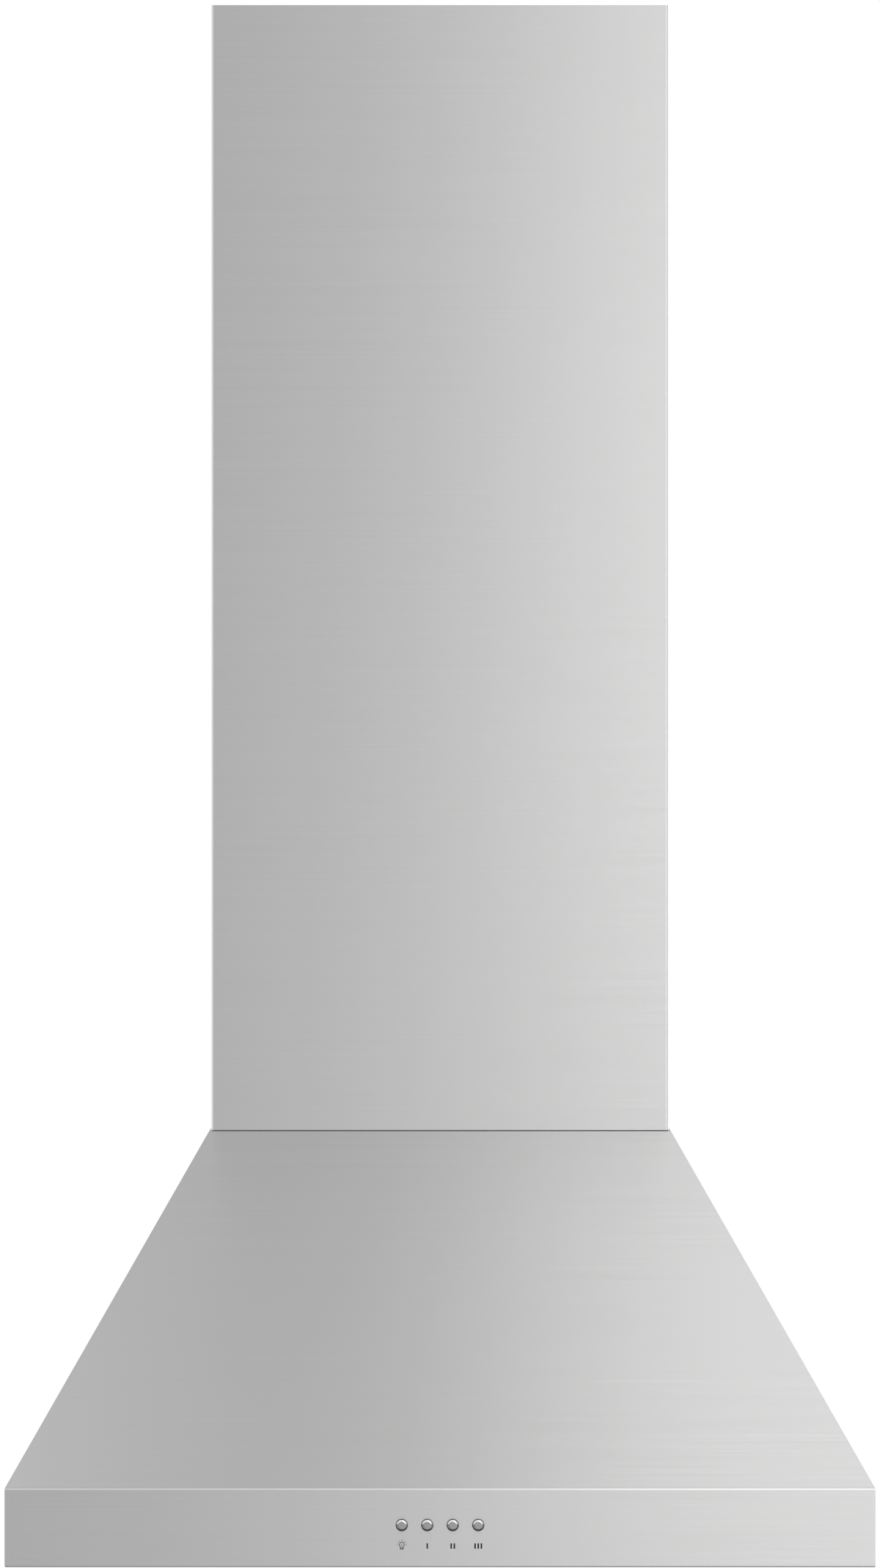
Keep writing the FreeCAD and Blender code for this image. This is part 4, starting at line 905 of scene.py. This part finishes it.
def lumps(node):
    """Places of the corners of each separate solid of a CAD node."""
    form = bmesh.new()
    form.from_mesh(frame["nodes"][node].data)
    bmesh.ops.remove_doubles(form, verts=form.verts, dist=same_place)
    found = []
    for start in form.verts:
        if start.tag:
            continue
        start.tag = True
        group, waiting = [], [start]
        while waiting:
            vert = waiting.pop()
            group.append(vert.co.copy())
            for edge in vert.link_edges:
                other = edge.other_vert(vert)
                if not other.tag:
                    other.tag = True
                    waiting.append(other)
        found.append(group)
    form.free()
    return found


def head_top(corners):
    """Middle of a screw's head, the way it points out of the sheet, and its whole length."""
    low = Vector([min(spot[k] for spot in corners) for k in range(3)])
    high = Vector([max(spot[k] for spot in corners) for k in range(3)])
    size, middle = high - low, (low + high) / 2
    odd = [min(abs(size[k] - size[j]) for j in range(3) if j != k) for k in range(3)]
    k = odd.index(max(odd))
    out = Vector([1.0 if i == k else 0.0 for i in range(3)])
    reaches = [((spot - middle) - out * (spot - middle).dot(out)).length for spot in corners]
    wide = [spot[k] for spot, reach in zip(corners, reaches) if reach > rim_share * max(reaches)]
    if sum(wide) / len(wide) < middle[k]:
        out = -out
    return middle + out * size[k] / 2, out, size[k]


def square_to(out):
    """Two directions square to the way a screw points and to each other."""
    side = Vector((0, 1, 0)) if abs(out.x) > 0.5 else Vector((1, 0, 0))
    return side, out.cross(side)


def add_turned(form, foot, out, rows):
    """Skin turned about a line, from pairs of radius and height. A radius may be a rule for the turn."""
    side, other = square_to(out)
    loops = []
    for radius, height in rows:
        loop = []
        for i in range(points_a_turn):
            turn = 2 * math.pi * i / points_a_turn
            reach = radius(turn) if callable(radius) else radius
            spoke = (side * math.cos(turn) + other * math.sin(turn)) * reach
            loop.append(form.verts.new(foot + out * height + spoke))
        loops.append(loop)
    for lower, upper in zip(loops, loops[1:]):
        for i in range(points_a_turn):
            form.faces.new((lower[i - 1], lower[i], upper[i], upper[i - 1]))
    return loops[0], loops[-1]


def thread_rows(shape, start, length):
    """Rows of a rolled thread from under the head to its point."""
    step = shape["pitch"] / rows_a_turn
    count = int((length - shape["point"]) / step)

    def rule(depth):
        def reach(turn):
            phase = (depth / shape["pitch"] - turn / (2 * math.pi)) % 1
            flank = max(0.0, 1 - flank_slope * abs(phase - 0.5))
            return shape["root"] + (shape["radius"] - shape["root"]) * flank

        return reach

    rows = [(shape["radius"] * shank_share, start)]
    rows += [(rule(i * step), start - i * step) for i in range(1, count)]
    return rows + [(shape["root"] * shape["tip"], start - length)]


def add_recess(form, rim, foot, out, radius):
    """Flat head top inside a loop of points, with a cross recess pressed into it."""
    side, other = square_to(out)
    half, reach = recess_half * radius, recess_reach * radius
    arm = [(half, half), (half, reach), (-half, reach)]
    cross = []
    for i in range(4):
        turn = Matrix.Rotation(i * math.pi / 2, 2)
        cross += [turn @ Vector(point) for point in arm]
    spokes = [side * x + other * y for x, y in cross]
    upper = [form.verts.new(foot + spoke) for spoke in spokes]
    lower = [form.verts.new(foot - out * recess_depth + spoke * recess_draft) for spoke in spokes]
    edges = []
    for loop in (rim, upper):
        for i in range(len(loop)):
            pair = (loop[i - 1], loop[i])
            edges.append(form.edges.get(pair) or form.edges.new(pair))
    bmesh.ops.triangle_fill(form, edges=edges, use_beauty=True, normal=out)
    for i in range(len(upper)):
        form.faces.new((upper[i - 1], upper[i], lower[i], lower[i - 1]))
    form.faces.new(lower)


def six_sided(turn):
    """Radius of a bolt's head at a turn."""
    return bolt_flat / math.cos(turn % (math.pi / 3) - math.pi / 6)


def add_screw(form, kind, top, out, length):
    """One screw or bolt from the middle of its head's top."""
    if kind == "bolt":
        crown = (bolt_crown * bolt_flat, bolt_head)
        head = [crown, (six_sided, bolt_edge * bolt_head), (six_sided, 0.0)]
        rows = head + thread_rows(bolt_thread, 0.0, length - bolt_head)
        rim, tip = add_turned(form, top - out * bolt_head, out, rows)
        form.faces.new(rim)
    elif kind == "sunk":
        start = screw_thread["radius"] - head_radius
        rows = [(head_radius, 0.0)] + thread_rows(screw_thread, start, length + start)
        rim, tip = add_turned(form, top, out, rows)
        add_recess(form, rim, top, out, head_radius)
    else:
        head = [(head_radius * share, pan_height * rise) for share, rise in pan_crown]
        rows = head + thread_rows(screw_thread, 0.0, length - pan_height)
        rim, tip = add_turned(form, top - out * pan_height, out, rows)
        add_recess(form, rim, top, out, head_radius)
    form.faces.new(tip)


kinds = {"levelling_bolts": "bolt", "panel_screws": "sunk", "upper_chimney_screws": "sunk"}
for owner in ("chimney", "collar", "blower", "motor_bracket", "switch", "terminal"):
    kinds[owner + "_screws"] = "pan"
for node, kind in kinds.items():
    form = bmesh.new()
    for corners in lumps(node):
        add_screw(form, kind, *head_top(corners))
    body = frame["nodes"][node]["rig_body"]
    piece = new_piece("threaded_" + node, form, body, bright_zinc, smooth=True)
    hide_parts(node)
